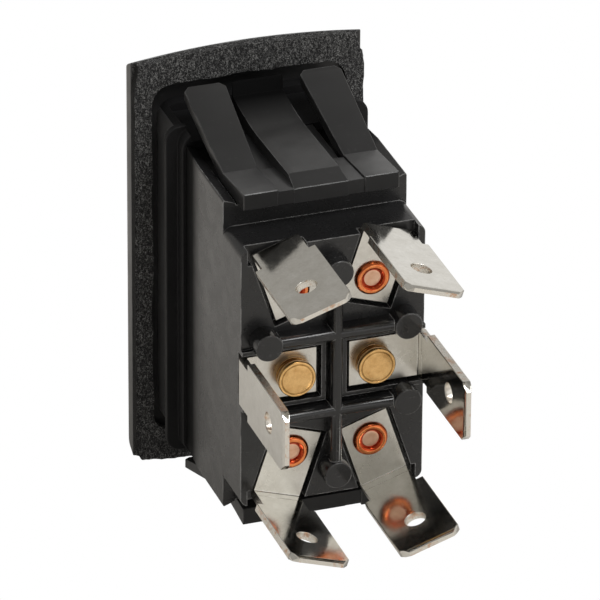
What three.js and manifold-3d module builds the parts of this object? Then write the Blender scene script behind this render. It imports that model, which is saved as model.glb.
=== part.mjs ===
// Snap-in double-pole rocker switch with six quick-connect blade terminals.
//
// Units are millimetres. The origin is the centre of the panel cut-out, in the plane
// where the gasket meets the panel. +Z runs along the long side of the switch, the
// rocker faces -Y and the terminals point along +Y. "Right" is +X, seen from the front.

import * as THREE from 'three';
import { mergeVertices } from 'three/addons/utils/BufferGeometryUtils.js';
import Module from 'manifold-3d';

const wasm = await Module();
wasm.setup();

// ---------------------------------------------------------------- driving dimensions

// Standard sizes that the switch has to match
const CUTOUT = { width: 21.08, height: 36.83 };
const BLADE = {
  width: 6.35,
  tipY: 38.2,
  shoulderY: 27.6,
  tipChamfer: 0.8,
  tipBevel: 0.15,
  holeRadius: 1.0,
  holeFromTip: 4.5,
};

const FACE_GAP = 0.05; // between pieces that rest on each other
const MERGE = 0.6; // how far joined shapes run into each other
const SHEET = 0.8; // terminals, contact arms
const GASKET_THICKNESS = 1.1;
const POLE_X = 4.1; // the two poles sit at +-POLE_X
const OUTER_RIVET_Z = 8.9; // rivets of the four outer terminals

const BEZEL = {
  halfX: 12.1,
  cornerZ: 22.4,
  crownZ: 23.2,
  rimY: -2.1,
  frontY: -4.8,
  slope: 2.3,
  endFall: 0.52, // how fast the short ends slope inwards
};
const OPENING = { halfX: 7.9, halfZ: 16.2, cornerRadius: 1.2 };
const GASKET_HOLE = { halfX: 9.9, halfZ: 19.5, cornerRadius: 2.5 };
const SLEEVE = { halfX: 9.3, halfZ: 18.0, cornerRadius: 1.8, innerX: 8.1, innerZ: 16.2, rearY: 6.9 };
const COLLAR = {
  halfX: (CUTOUT.width - 0.08) / 2,
  halfZ: (CUTOUT.height - 0.63) / 2,
  cornerRadius: 1.5,
  frontY: 4.7,
  rearY: 5.4,
};

const TONGUE = { halfX: 2.6, frontY: 3.0, frontZ: 18.0, crestY: 19.1, crestZ: 18.6, tipZ: 18.05 };
const WING = {
  halfX: 7.95,
  frontY: 15.25,
  rearY: 21.5,
  frontZ: 17.6,
  rearZ: 18.25,
  undersideZ: 16.35,
  lipZ: 16.5,
  padRise: 0.2, // the ends behind the arms stand higher than the middle
};
const WEB = { halfX: 4.15, topZ: 17.0 };
const ARM = {
  innerX: 4.4,
  outerX: 7.95,
  tipY: 3.4,
  tipZ: 21.3,
  tipChamfer: 0.6,
  thickness: 1.0,
  hingeY: 14.6,
  hingeZ: 17.0,
  hingeRadius: 0.6,
};
const ARM_POCKET = { innerX: 4.2, outerX: 8.15, floorZ: 17.1, frontY: 0.15, rearY: 14.25 };

const BODY = {
  halfX: 9.4,
  halfZ: 17.0,
  frontY: 6.95,
  stepY: 19.6,
  rearY: 25.0,
  rearHalfZ: 14.05,
  cornerRadius: 0.9,
};
const CHAMBER = { halfX: 8.2, halfZ: 15.1, stepY: 18.2, rearHalfZ: 12.8, rearY: 21.4 };
const SPIGOT = { halfX: 7.95, halfZ: 16.05, innerX: 7.2, innerZ: 15.0, frontY: 5.4 };
const CHANNEL = { halfX: 8.1, floorZ: 16.3 };
const BARRIER = { halfX: 0.5, frontY: 8.0 };
const LUG = { halfX: 1.4, frontY: 9.0, rearY: 12.0, height: 0.8, clearance: 0.15 };

const RIB = { width: 1.15, topY: 26.8, z: 4.2, halfX: 7.15, halfZ: 11.1 };
const POST = { radius: 1.4, endY: 27.05 };

const PLATE = { width: 4.9, behindRivet: 2.4, reach: 5.5, bendRadius: 0.9, holeRadius: 1.55 };
const PLATE_REAR_Y = { outer: 24.65, middle: 25.05 };
const WELL_CLEARANCE = 0.4;
const WELL_MOUTH = { innerX: 2.9, outerX: 8.7, nearZ: 12.4 }; // where an outer well opens in Z
const WELL_KERB = { width: 0.45, topY: 25.45 }; // raised edge round a middle well
const TERMINAL_SPLAY = 18; // degrees that the outer terminals turn away from the long axis

const RIVET = { shank: 1.5, head: 2.1, headY: 20.5 };
const EYELET = { rim: 1.78, rimY: 25.1, bore: 0.95, floorRadius: 0.85, floorY: 24.78 };
const PIVOT_RIVET = { cap: 1.92, capY: 26.5, capRound: 0.2, clinch: 2.0, clinchY: 19.9, clinchRearY: 20.55 };
const FIXED_CONTACT = { radius: 1.95, frontY: 19.9 };

const ROCKER = { halfX: 7.6, swingRadius: 15.9, centreY: -4.2, endY: -5.6, endZ: 14.8, backY: -0.8 };
const ROCKER_HOLLOW = { halfX: 6.3, nearZ: 3.6, farZ: 13.9, floorY: -3.0 };
const ROCKER_HUB = { halfX: 7.2, halfZ: 3.0, rearY: 1.8 };
const TRUNNION = { radius: 1.3, endX: 8.75, pocketRadius: 1.38, pocketX: 8.85 };
const LEG = { radius: 2.2, endY: 14.0, bore: 1.4, boreFloorY: 2.5 };

const PLUNGER = { radius: 1.25, rearY: 11.5, shoulderY: 15.6, ballRadius: 1.0, ballY: 16.65 };
const SPRING = { coilRadius: 0.95, wireRadius: 0.17, turns: 7 };

const ARM_PIVOT_Y = 18.65;
const CONTACT_ARM = {
  halfX: 2.0,
  halfZ: 10.6,
  frontY: 16.67,
  troughRadius: 6.31,
  troughClearance: 0.15,
  tabX: 3.0,
  tabFrontY: 17.9,
  tabHalfZ: 0.28,
};
const CRADLE = {
  halfX: 2.9,
  halfZ: 2.2,
  earX: 2.3,
  earHalfZ: 1.9,
  plateY: 20.6,
  earY: 17.4,
  notchY: 18.75,
  notchHalfZ: 0.95,
};
const MOVING_CONTACT = {
  radius: 1.7,
  faceY: 18.5,
  domeRadius: 6,
  shank: 0.7,
  hole: 0.75,
  tail: 1.1,
  tailY: 16.27,
};

const BEYOND = 40; // further out than any face of the switch
const ROUND = 20; // sides on a full circle
const SMALL_ROUND = 16;

// ---------------------------------------------------------------- materials

const material = (name, color, roughness, metalness = 0) =>
  new THREE.MeshStandardMaterial({ name, color, roughness, metalness });

const MATERIALS = {
  bracket: material('satin black nylon', 0x1d1d1e, 0.5),
  base: material('glossy black moulding', 0x151516, 0.32),
  rocker: material('soft black nylon', 0x19191a, 0.6),
  gasket: material('charcoal foam', 0x2b2b2c, 0.95),
  terminal: material('tin-plated brass', 0xc9c7c0, 0.3, 1),
  copper: material('copper', 0xc8623a, 0.22, 1),
  brass: material('brass', 0xc9a15a, 0.28, 1),
  silver: material('silver alloy', 0xd8d8d6, 0.35, 1),
  spring: material('spring steel', 0x8e9093, 0.35, 1),
  plunger: material('natural acetal', 0xd9d5c8, 0.5),
};

// ---------------------------------------------------------------- solids from geometries

function closedTriangles(index) {
  const kept = [];
  for (let i = 0; i < index.length; i += 3) {
    const [a, b, c] = [index[i], index[i + 1], index[i + 2]];
    if (a !== b && b !== c && c !== a) kept.push(a, b, c);
  }
  return kept;
}

function toSolid(geometry) {
  const bare = geometry.clone();
  bare.deleteAttribute('normal');
  bare.deleteAttribute('uv');
  const welded = mergeVertices(bare, 1e-5);
  const vertProperties = new Float32Array(welded.attributes.position.array);
  const triVerts = new Uint32Array(closedTriangles(welded.index.array));
  return new wasm.Manifold(new wasm.Mesh({ numProp: 3, vertProperties, triVerts }));
}

function toGeometry(solid) {
  const { vertProperties, triVerts } = solid.getMesh();
  const geometry = new THREE.BufferGeometry();
  geometry.setAttribute('position', new THREE.BufferAttribute(vertProperties, 3));
  geometry.setIndex(new THREE.BufferAttribute(triVerts, 1));
  geometry.computeVertexNormals();
  return geometry;
}

const joined = (solids) => solids.reduce((whole, next) => whole.add(next));
const without = (solid, cutters) => cutters.reduce((rest, cutter) => rest.subtract(cutter), solid);

function box([x0, x1], [y0, y1], [z0, z1]) {
  const geometry = new THREE.BoxGeometry(Math.abs(x1 - x0), Math.abs(y1 - y0), Math.abs(z1 - z0));
  geometry.translate((x0 + x1) / 2, (y0 + y1) / 2, (z0 + z1) / 2);
  return toSolid(geometry);
}

// The turn that lays an extrusion's own x, y and z along the three named directions
function laidAlong(geometry, x, y, z) {
  return geometry.applyMatrix4(new THREE.Matrix4().makeBasis(x, y, z));
}

const X = new THREE.Vector3(1, 0, 0);
const Y = new THREE.Vector3(0, 1, 0);
const Z = new THREE.Vector3(0, 0, 1);
const MINUS_Y = new THREE.Vector3(0, -1, 0);

// A shape drawn in X and Z, given thickness from y0 to y1
function slab(shape, y0, y1, curveSegments = 4) {
  const geometry = new THREE.ExtrudeGeometry(shape, { depth: y1 - y0, bevelEnabled: false, curveSegments });
  return toSolid(laidAlong(geometry, X, Z, MINUS_Y).translate(0, y1, 0));
}

// An outline drawn in Y and Z, given width from x0 to x1
function prism(points, x0, x1) {
  const shape = new THREE.Shape(points.map(([y, z]) => new THREE.Vector2(y, z)));
  const geometry = new THREE.ExtrudeGeometry(shape, { depth: Math.abs(x1 - x0), bevelEnabled: false });
  return toSolid(laidAlong(geometry, Y, Z, X).translate(Math.min(x0, x1), 0, 0));
}

// An outline of [y, x] points, given height from z0 to z1
function column(points, z0, z1) {
  const shape = new THREE.Shape(points.map(([y, x]) => new THREE.Vector2(x, y)));
  const geometry = new THREE.ExtrudeGeometry(shape, { depth: z1 - z0, bevelEnabled: false });
  return toSolid(geometry.translate(0, 0, z0));
}

// An outline of [radius, y] points, turned about a line along Y through (x, z)
function turned(points, x, z, sides = ROUND) {
  const profile = points.map(([radius, y]) => new THREE.Vector2(radius, y));
  return toSolid(new THREE.LatheGeometry(profile, sides).translate(x, 0, z));
}

const rod = (radius, y0, y1, x, z, sides = ROUND) =>
  turned([[0, y0], [radius, y0], [radius, y1], [0, y1]], x, z, sides);

// A cylinder along X, centred on (y, z)
function crossRod(radius, x0, x1, y, z, sides = ROUND) {
  const geometry = new THREE.CylinderGeometry(radius, radius, Math.abs(x1 - x0), sides);
  geometry.rotateZ(Math.PI / 2).translate((x0 + x1) / 2, y, z);
  return toSolid(geometry);
}

function arcPoints(centreY, centreZ, radius, from, to, steps) {
  const angles = Array.from({ length: steps + 1 }, (_, i) => from + ((to - from) * i) / steps);
  return angles.map((angle) => [centreY + radius * Math.cos(angle), centreZ + radius * Math.sin(angle)]);
}

function roundedRectangle(halfX, halfZ, radius) {
  const shape = new THREE.Shape();
  const [cx, cz] = [halfX - radius, halfZ - radius];
  shape.absarc(cx, cz, radius, 0, Math.PI / 2);
  shape.absarc(-cx, cz, radius, Math.PI / 2, Math.PI);
  shape.absarc(-cx, -cz, radius, Math.PI, 1.5 * Math.PI);
  shape.absarc(cx, -cz, radius, 1.5 * Math.PI, 2 * Math.PI);
  return shape;
}

// Straight long sides and gently arched short ends
function archedOutline(halfX, cornerZ, crownZ) {
  const rise = crownZ - cornerZ;
  const radius = (halfX ** 2 + rise ** 2) / (2 * rise);
  const half = Math.asin(halfX / radius);
  const shape = new THREE.Shape();
  shape.absarc(0, crownZ - radius, radius, Math.PI / 2 - half, Math.PI / 2 + half);
  shape.absarc(0, radius - crownZ, radius, 1.5 * Math.PI - half, 1.5 * Math.PI + half);
  return shape;
}

// ---------------------------------------------------------------- mounting bracket

// A domed section between straight or sloping sides; fall is how far a side comes in per mm of depth
function crownSection(halfWidth, fall) {
  const { rimY, frontY, slope } = BEZEL;
  const backY = -GASKET_THICKNESS - FACE_GAP;
  const rimWidth = halfWidth - fall * (backY - rimY);
  const rounded = Array.from({ length: 6 }, (_, i) => {
    const angle = (Math.PI / 2) * (i / 5);
    const depth = (rimY - frontY) * Math.sin(angle);
    return [rimY - depth, rimWidth - fall * depth - slope * (1 - Math.cos(angle))];
  });
  const half = [[backY, halfWidth], ...rounded];
  return [...half, ...half.map(([y, across]) => [y, -across]).reverse()];
}

function bezelPlate() {
  const outline = archedOutline(BEZEL.halfX, BEZEL.cornerZ, BEZEL.crownZ);
  const plate = slab(outline, BEZEL.frontY, -GASKET_THICKNESS - FACE_GAP, 10);
  const alongLength = prism(crownSection(BEZEL.crownZ, BEZEL.endFall), -BEYOND, BEYOND);
  const acrossWidth = column(crownSection(BEZEL.halfX, 0), -BEYOND, BEYOND);
  return plate.intersect(alongLength).intersect(acrossWidth);
}

function wing(side) {
  const { frontY, rearY, frontZ, rearZ, undersideZ, lipZ } = WING;
  const stepY = BODY.stepY + FACE_GAP;
  const barProfile = (drop) => [
    [frontY, side * undersideZ],
    [stepY, side * undersideZ],
    [rearY, side * lipZ],
    [rearY, side * (rearZ - drop)],
    [frontY, side * (frontZ - drop)],
  ];
  const bar = prism(barProfile(WING.padRise), -WING.halfX, WING.halfX);
  const pads = [-1, 1].map((x) => prism(barProfile(0), x * ARM.innerX, x * ARM.outerX));
  const tongue = prism(
    [
      [TONGUE.frontY, side * (SLEEVE.innerZ + MERGE)],
      [SLEEVE.rearY - MERGE, side * undersideZ],
      [stepY, side * undersideZ],
      [rearY, side * lipZ],
      [rearY, side * TONGUE.tipZ],
      [TONGUE.crestY, side * TONGUE.crestZ],
      [TONGUE.frontY, side * TONGUE.frontZ],
    ],
    -TONGUE.halfX,
    TONGUE.halfX,
  );
  const web = box(
    [-WEB.halfX, WEB.halfX],
    [SLEEVE.rearY - MERGE, frontY + MERGE],
    [side * undersideZ, side * WEB.topZ],
  );
  return joined([bar, ...pads, tongue, web]);
}

function lugProfile(side, clearance) {
  const top = side * (CHANNEL.floorZ + LUG.height + clearance);
  const foot = side * (CHANNEL.floorZ - MERGE / 2);
  return [
    [LUG.frontY - clearance, foot],
    [LUG.frontY - clearance + LUG.height / 2, top],
    [LUG.rearY + clearance, top],
    [LUG.rearY + clearance, foot],
  ];
}

function mountingBracket() {
  const sleeve = slab(
    roundedRectangle(SLEEVE.halfX, SLEEVE.halfZ, SLEEVE.cornerRadius),
    BEZEL.rimY,
    SLEEVE.rearY,
  );
  const collar = slab(
    roundedRectangle(COLLAR.halfX, COLLAR.halfZ, COLLAR.cornerRadius),
    COLLAR.frontY,
    COLLAR.rearY,
  );
  const pockets = [];
  for (const side of [-1, 1]) {
    for (const x of [-1, 1]) {
      const across = [x * ARM_POCKET.innerX, x * ARM_POCKET.outerX];
      const depth = [ARM_POCKET.frontY, ARM_POCKET.rearY];
      pockets.push(box(across, depth, [side * ARM_POCKET.floorZ, side * BEYOND]));
    }
  }
  const shell = without(joined([bezelPlate(), sleeve, collar]), [
    ...pockets,
    slab(roundedRectangle(OPENING.halfX, OPENING.halfZ, OPENING.cornerRadius), -BEYOND, 0),
    slab(roundedRectangle(SLEEVE.innerX, SLEEVE.innerZ, OPENING.cornerRadius), -GASKET_THICKNESS, BEYOND),
    crossRod(TRUNNION.pocketRadius, -TRUNNION.pocketX, TRUNNION.pocketX, 0, 0),
  ]);
  const catches = [-1, 1].map((side) =>
    prism(lugProfile(side, LUG.clearance), -LUG.halfX - LUG.clearance, LUG.halfX + LUG.clearance),
  );
  return without(joined([shell, wing(1), wing(-1)]), catches);
}

// A moulded spring arm that grips the back of the panel
function latchArm(side, x) {
  const { hingeY, hingeZ, hingeRadius, tipY, tipZ, tipChamfer, thickness } = ARM;
  const slope = Math.atan2(tipZ - hingeZ - hingeRadius, hingeY - tipY);
  const outerAngle = Math.PI / 2 - slope;
  const root = arcPoints(hingeY, hingeZ, hingeRadius, outerAngle, outerAngle - Math.PI, 8);
  const outline = [[tipY, tipZ - thickness], [tipY, tipZ], ...root];
  const arm = prism(outline.map(([y, z]) => [y, side * z]), x * ARM.innerX, x * ARM.outerX);
  const width = tipChamfer * Math.SQRT2;
  const corner = new THREE.BoxGeometry(width, width, BEYOND).rotateZ(Math.PI / 4);
  const cornerCuts = [ARM.innerX, ARM.outerX].map((edge) =>
    toSolid(corner.clone().translate(x * edge, tipY, side * tipZ)),
  );
  return without(arm, cornerCuts);
}

function panelGasket() {
  const inset = 0.1;
  const outline = archedOutline(BEZEL.halfX - inset, BEZEL.cornerZ - inset, BEZEL.crownZ - inset);
  const ring = slab(outline, -GASKET_THICKNESS, 0, 10);
  const hole = roundedRectangle(GASKET_HOLE.halfX, GASKET_HOLE.halfZ, GASKET_HOLE.cornerRadius);
  return ring.subtract(slab(hole, -BEYOND, BEYOND));
}

// ---------------------------------------------------------------- switch base

// Each outer terminal turns with the quadrant it stands in; the middle two face sideways
const TERMINALS = [
  { name: 'upper_right', x: 1, z: 1 },
  { name: 'upper_left', x: -1, z: 1 },
  { name: 'middle_right', x: 1, z: 0 },
  { name: 'middle_left', x: -1, z: 0 },
  { name: 'lower_right', x: 1, z: -1 },
  { name: 'lower_left', x: -1, z: -1 },
].map((terminal) => {
  const splay = THREE.MathUtils.degToRad(TERMINAL_SPLAY);
  const isMiddle = terminal.z === 0;
  const outward = isMiddle ? [terminal.x, 0] : [terminal.x * Math.sin(splay), terminal.z * Math.cos(splay)];
  return {
    ...terminal,
    isMiddle,
    rivetX: terminal.x * POLE_X,
    rivetZ: terminal.z * OUTER_RIVET_Z,
    outward,
    plateY: isMiddle ? PLATE_REAR_Y.middle : PLATE_REAR_Y.outer,
  };
});

const wellFloorY = ({ plateY }) => plateY - SHEET - FACE_GAP;

function terminalWell(terminal) {
  const { rivetX, rivetZ, outward } = terminal;
  const [ox, oz] = outward;
  const [sx, sz] = [oz, -ox];
  const half = PLATE.width / 2 + WELL_CLEARANCE;
  const near = -PLATE.behindRivet - WELL_CLEARANCE;
  const far = PLATE.reach + WELL_CLEARANCE;
  const corners = [[near, -half], [far, -half], [far, half], [near, half]];
  const place = ([along, across]) =>
    new THREE.Vector2(rivetX + ox * along + sx * across, rivetZ + oz * along + sz * across);
  return slab(new THREE.Shape(corners.map(place)), wellFloorY(terminal), BEYOND);
}

// The opening that lets an outer terminal out over the end of the rear block
function wellMouth(terminal) {
  const { innerX, outerX, nearZ } = WELL_MOUTH;
  const { x, z } = terminal;
  return box([x * innerX, x * outerX], [wellFloorY(terminal), BEYOND], [z * nearZ, z * BODY.halfZ]);
}

function wellKerb({ x, rivetX }) {
  const rim = WELL_CLEARANCE + WELL_KERB.width;
  const half = PLATE.width / 2 + rim;
  const near = rivetX - x * (PLATE.behindRivet + rim);
  return box([near, x * BODY.halfX], [BODY.rearY - MERGE, WELL_KERB.topY], [-half, half]);
}

// A bar with a half-round top, standing on the rear face
function rearRib(length) {
  const half = RIB.width / 2;
  const shape = new THREE.Shape();
  shape.moveTo(-half, BODY.rearY - MERGE);
  shape.lineTo(half, BODY.rearY - MERGE);
  shape.absarc(0, RIB.topY - half, half, 0, Math.PI);
  const geometry = new THREE.ExtrudeGeometry(shape, { depth: length, bevelEnabled: false, curveSegments: 6 });
  return geometry.translate(0, 0, -length / 2);
}

function rearRibs() {
  const upright = toSolid(rearRib(2 * RIB.halfZ));
  const level = [-1, 1].map((side) =>
    toSolid(rearRib(2 * RIB.halfX).rotateY(Math.PI / 2).translate(0, 0, side * RIB.z)),
  );
  const places = [[0, RIB.halfZ], [0, -RIB.halfZ]];
  for (const x of [-1, 1]) {
    for (const z of [-1, 1]) places.push([x * RIB.halfX, z * RIB.z]);
  }
  const posts = places.map(([x, z]) => rod(POST.radius, BODY.rearY - MERGE, POST.endY, x, z));
  return joined([upright, ...level, ...posts]);
}

function switchBase() {
  const { halfX, halfZ, rearHalfZ, cornerRadius, frontY, stepY, rearY } = BODY;
  const spigot = roundedRectangle(SPIGOT.halfX, SPIGOT.halfZ, OPENING.cornerRadius);
  const outer = joined([
    slab(roundedRectangle(halfX, halfZ, cornerRadius), frontY, stepY, 3),
    slab(roundedRectangle(halfX, rearHalfZ, cornerRadius), stepY - MERGE, rearY, 3),
    slab(spigot, SPIGOT.frontY, frontY + MERGE),
  ]);
  const channels = [-1, 1].map((side) =>
    box([-CHANNEL.halfX, CHANNEL.halfX], [frontY - 0.1, stepY + 0.1], [side * CHANNEL.floorZ, side * BEYOND]),
  );
  const hollow = [
    box([-SPIGOT.innerX, SPIGOT.innerX], [0, frontY + MERGE], [-SPIGOT.innerZ, SPIGOT.innerZ]),
    box([-CHAMBER.halfX, CHAMBER.halfX], [frontY + MERGE, CHAMBER.stepY], [-CHAMBER.halfZ, CHAMBER.halfZ]),
    box(
      [-CHAMBER.halfX, CHAMBER.halfX],
      [CHAMBER.stepY - 0.1, CHAMBER.rearY],
      [-CHAMBER.rearHalfZ, CHAMBER.rearHalfZ],
    ),
  ];
  const wallAcross = (y0, y1, halfZ) =>
    box([-BARRIER.halfX, BARRIER.halfX], [y0, y1], [-halfZ - MERGE, halfZ + MERGE]);
  const barrier = wallAcross(BARRIER.frontY, CHAMBER.stepY, CHAMBER.halfZ).add(
    wallAcross(CHAMBER.stepY - MERGE, CHAMBER.rearY + MERGE, CHAMBER.rearHalfZ),
  );
  const lugs = [-1, 1].map((side) => prism(lugProfile(side, 0), -LUG.halfX, LUG.halfX));
  const shell = without(outer, [...channels, ...hollow]);
  const kerbs = TERMINALS.filter(({ isMiddle }) => isMiddle).map(wellKerb);
  const mouths = TERMINALS.filter(({ isMiddle }) => !isMiddle).map(wellMouth);
  const wells = TERMINALS.map(terminalWell);
  const rivetHoles = TERMINALS.map(({ rivetX, rivetZ }) => rod(PLATE.holeRadius, 0, BEYOND, rivetX, rivetZ));
  const body = without(joined([shell, barrier, ...lugs, ...kerbs]), [...wells, ...mouths]);
  return without(body.add(rearRibs()), rivetHoles);
}

// ---------------------------------------------------------------- terminals and rivets

// Drawn with its rivet on the Y axis and its blade standing at +Z
function terminalSolid(plateY) {
  const halfPlate = PLATE.width / 2;
  const frontY = plateY - SHEET;
  const { bendRadius, reach } = PLATE;
  const outerBend = arcPoints(frontY + bendRadius, reach - bendRadius, bendRadius, Math.PI, Math.PI / 2, 5);
  const innerBend = arcPoints(
    frontY + bendRadius,
    reach - bendRadius,
    bendRadius - SHEET,
    Math.PI / 2,
    Math.PI,
    3,
  );
  const strip = prism(
    [
      [plateY, -PLATE.behindRivet],
      [frontY, -PLATE.behindRivet],
      ...outerBend,
      [BLADE.shoulderY + MERGE, reach],
      [BLADE.shoulderY + MERGE, reach - SHEET],
      ...innerBend,
    ],
    -halfPlate,
    halfPlate,
  );
  return joined([strip, bladeTip()]).subtract(rod(PLATE.holeRadius, 0, BEYOND, 0, 0));
}

function bladeTip() {
  const half = BLADE.width / 2;
  const { shoulderY, tipY, tipChamfer, tipBevel } = BLADE;
  const outline = new THREE.Shape(
    [
      [-half, shoulderY],
      [half, shoulderY],
      [half, tipY - tipChamfer],
      [half - tipChamfer, tipY],
      [tipChamfer - half, tipY],
      [-half, tipY - tipChamfer],
    ].map(([x, y]) => new THREE.Vector2(x, y)),
  );
  const hole = new THREE.Path();
  hole.absarc(0, tipY - BLADE.holeFromTip, BLADE.holeRadius, 0, 2 * Math.PI);
  outline.holes.push(hole);
  const geometry = new THREE.ExtrudeGeometry(outline, {
    depth: SHEET - 2 * tipBevel,
    curveSegments: 9,
    bevelThickness: tipBevel,
    bevelSize: tipBevel,
    bevelOffset: -tipBevel,
    bevelSegments: 1,
  });
  return toSolid(geometry.translate(0, 0, PLATE.reach - SHEET + tipBevel));
}

function eyeletRivet({ rivetX, rivetZ, plateY }) {
  const plateTop = plateY + FACE_GAP;
  const wallFace = CHAMBER.rearY - FACE_GAP;
  const { shank, head, headY } = RIVET;
  const { rim, rimY, bore, floorRadius, floorY } = EYELET;
  const middle = (rim + bore) / 2;
  const rise = rimY - plateTop;
  const crown = arcPoints(0, 0, 1, 0, Math.PI, 6).map(([across, up]) => [
    middle + (rim - middle) * across,
    plateTop + rise * (0.3 + 0.7 * up),
  ]);
  return turned(
    [
      [0, headY],
      [head, headY],
      [head, wallFace],
      [shank, wallFace],
      [shank, plateTop],
      [rim, plateTop],
      ...crown,
      [floorRadius, floorY],
      [0, floorY],
    ],
    rivetX,
    rivetZ,
  );
}

function pivotRivet({ rivetX, rivetZ, plateY }) {
  const plateTop = plateY + FACE_GAP;
  const { cap, capY, capRound, clinch, clinchY, clinchRearY } = PIVOT_RIVET;
  return turned(
    [
      [0, clinchY],
      [clinch, clinchY],
      [clinch, clinchRearY],
      [RIVET.shank, clinchRearY],
      [RIVET.shank, plateTop],
      [cap, plateTop],
      [cap, capY - capRound],
      [cap - capRound, capY],
      [0, capY],
    ],
    rivetX,
    rivetZ,
  );
}

const fixedContact = ({ rivetX, rivetZ }) =>
  rod(FIXED_CONTACT.radius, FIXED_CONTACT.frontY, RIVET.headY - FACE_GAP, rivetX, rivetZ);

// ---------------------------------------------------------------- contact mechanism

function contactCradle(x) {
  const { halfX, halfZ, earX, earHalfZ, plateY, earY, notchY, notchHalfZ } = CRADLE;
  const rearY = CHAMBER.rearY - FACE_GAP;
  const plate = box([x - halfX, x + halfX], [plateY, rearY], [-halfZ, halfZ]);
  const earOutline = [
    [rearY, -earHalfZ],
    [rearY, earHalfZ],
    [earY, earHalfZ],
    [earY, notchHalfZ],
    [notchY, 0],
    [earY, -notchHalfZ],
    [earY, -earHalfZ],
  ];
  const ears = [
    prism(earOutline, x - halfX, x - earX),
    prism(earOutline, x + earX, x + halfX),
  ];
  return joined([plate, ...ears]).subtract(rod(PLATE.holeRadius, plateY - 1, BEYOND, x, 0));
}

// A seesaw strip: a curved trough that the plunger rides in, and a contact at each end
function contactArm(x) {
  const { halfX, halfZ, frontY, troughRadius, troughClearance, tabX, tabFrontY, tabHalfZ } = CONTACT_ARM;
  const troughBottomY = PLUNGER.ballY + PLUNGER.ballRadius + troughClearance;
  const centreY = troughBottomY - troughRadius;
  const rearY = frontY + SHEET;
  const frontAngle = Math.acos((frontY - centreY) / troughRadius);
  const rearAngle = Math.acos((rearY - centreY) / (troughRadius + SHEET));
  const strip = prism(
    [
      [frontY, -halfZ],
      ...arcPoints(centreY, 0, troughRadius, -frontAngle, frontAngle, 12),
      [frontY, halfZ],
      [rearY, halfZ],
      ...arcPoints(centreY, 0, troughRadius + SHEET, rearAngle, -rearAngle, 12),
      [rearY, -halfZ],
    ],
    x - halfX,
    x + halfX,
  );
  const edgeOutline = [[tabFrontY, -tabHalfZ], [ARM_PIVOT_Y, 0], [tabFrontY, tabHalfZ]];
  const knifeEdge = prism(edgeOutline, x - tabX, x + tabX);
  const holes = [-1, 1].map((side) =>
    rod(MOVING_CONTACT.hole, frontY - 1, rearY + 1, x, side * OUTER_RIVET_Z, SMALL_ROUND),
  );
  return without(strip.add(knifeEdge), holes);
}

function movingContact(x, side) {
  const { radius, faceY, domeRadius, shank, tail, tailY } = MOVING_CONTACT;
  const frontY = CONTACT_ARM.frontY - FACE_GAP;
  const rearY = CONTACT_ARM.frontY + SHEET + FACE_GAP;
  const rimAngle = Math.asin(radius / domeRadius);
  const dome = arcPoints(0, faceY - domeRadius, domeRadius, Math.PI / 2 - rimAngle, Math.PI / 2, 4);
  return turned(
    [
      [0, tailY],
      [tail, tailY],
      [tail, frontY],
      [shank, frontY],
      [shank, rearY],
      [radius, rearY],
      ...dome,
    ],
    x,
    side * OUTER_RIVET_Z,
    SMALL_ROUND,
  );
}

function plunger(x) {
  const { radius, rearY, shoulderY, ballRadius, ballY } = PLUNGER;
  const ball = arcPoints(0, ballY, ballRadius, 0, Math.PI / 2, 6);
  return turned([[0, rearY], [radius, rearY], [radius, shoulderY], ...ball], x, 0, SMALL_ROUND);
}

class Helix extends THREE.Curve {
  constructor(x, startY, endY) {
    super();
    Object.assign(this, { x, startY, endY });
  }

  getPoint(t, target = new THREE.Vector3()) {
    const angle = 2 * Math.PI * SPRING.turns * t;
    const y = THREE.MathUtils.lerp(this.startY, this.endY, t);
    const [across, up] = [Math.cos(angle), Math.sin(angle)].map((part) => SPRING.coilRadius * part);
    return target.set(this.x + across, y, up);
  }
}

function plungerSpring(x) {
  const clearance = SPRING.wireRadius + 0.1;
  const path = new Helix(x, LEG.boreFloorY + clearance, PLUNGER.rearY - clearance);
  const section = new THREE.Shape();
  section.absarc(0, 0, SPRING.wireRadius, 0, 2 * Math.PI);
  const options = { steps: SPRING.turns * 10, curveSegments: 3, bevelEnabled: false, extrudePath: path };
  return toSolid(new THREE.ExtrudeGeometry(section, options));
}

// ---------------------------------------------------------------- rocker

function rockerOutline() {
  const { swingRadius, centreY, endY, endZ, backY } = ROCKER;
  const frontAngle = Math.atan2(Math.sqrt(swingRadius ** 2 - endY ** 2), endY);
  const backAngle = Math.atan2(Math.sqrt(swingRadius ** 2 - backY ** 2), backY);
  const end = arcPoints(0, 0, swingRadius, backAngle, frontAngle, 4);
  const otherEnd = end.map(([y, z]) => [y, -z]).reverse();
  const sag = centreY - endY;
  const radius = (endZ ** 2 + sag ** 2) / (2 * sag);
  const half = Math.asin(endZ / radius);
  const face = arcPoints(centreY - radius, 0, radius, half, -half, 12);
  return [...end, ...face.slice(1, -1), ...otherEnd];
}

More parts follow.
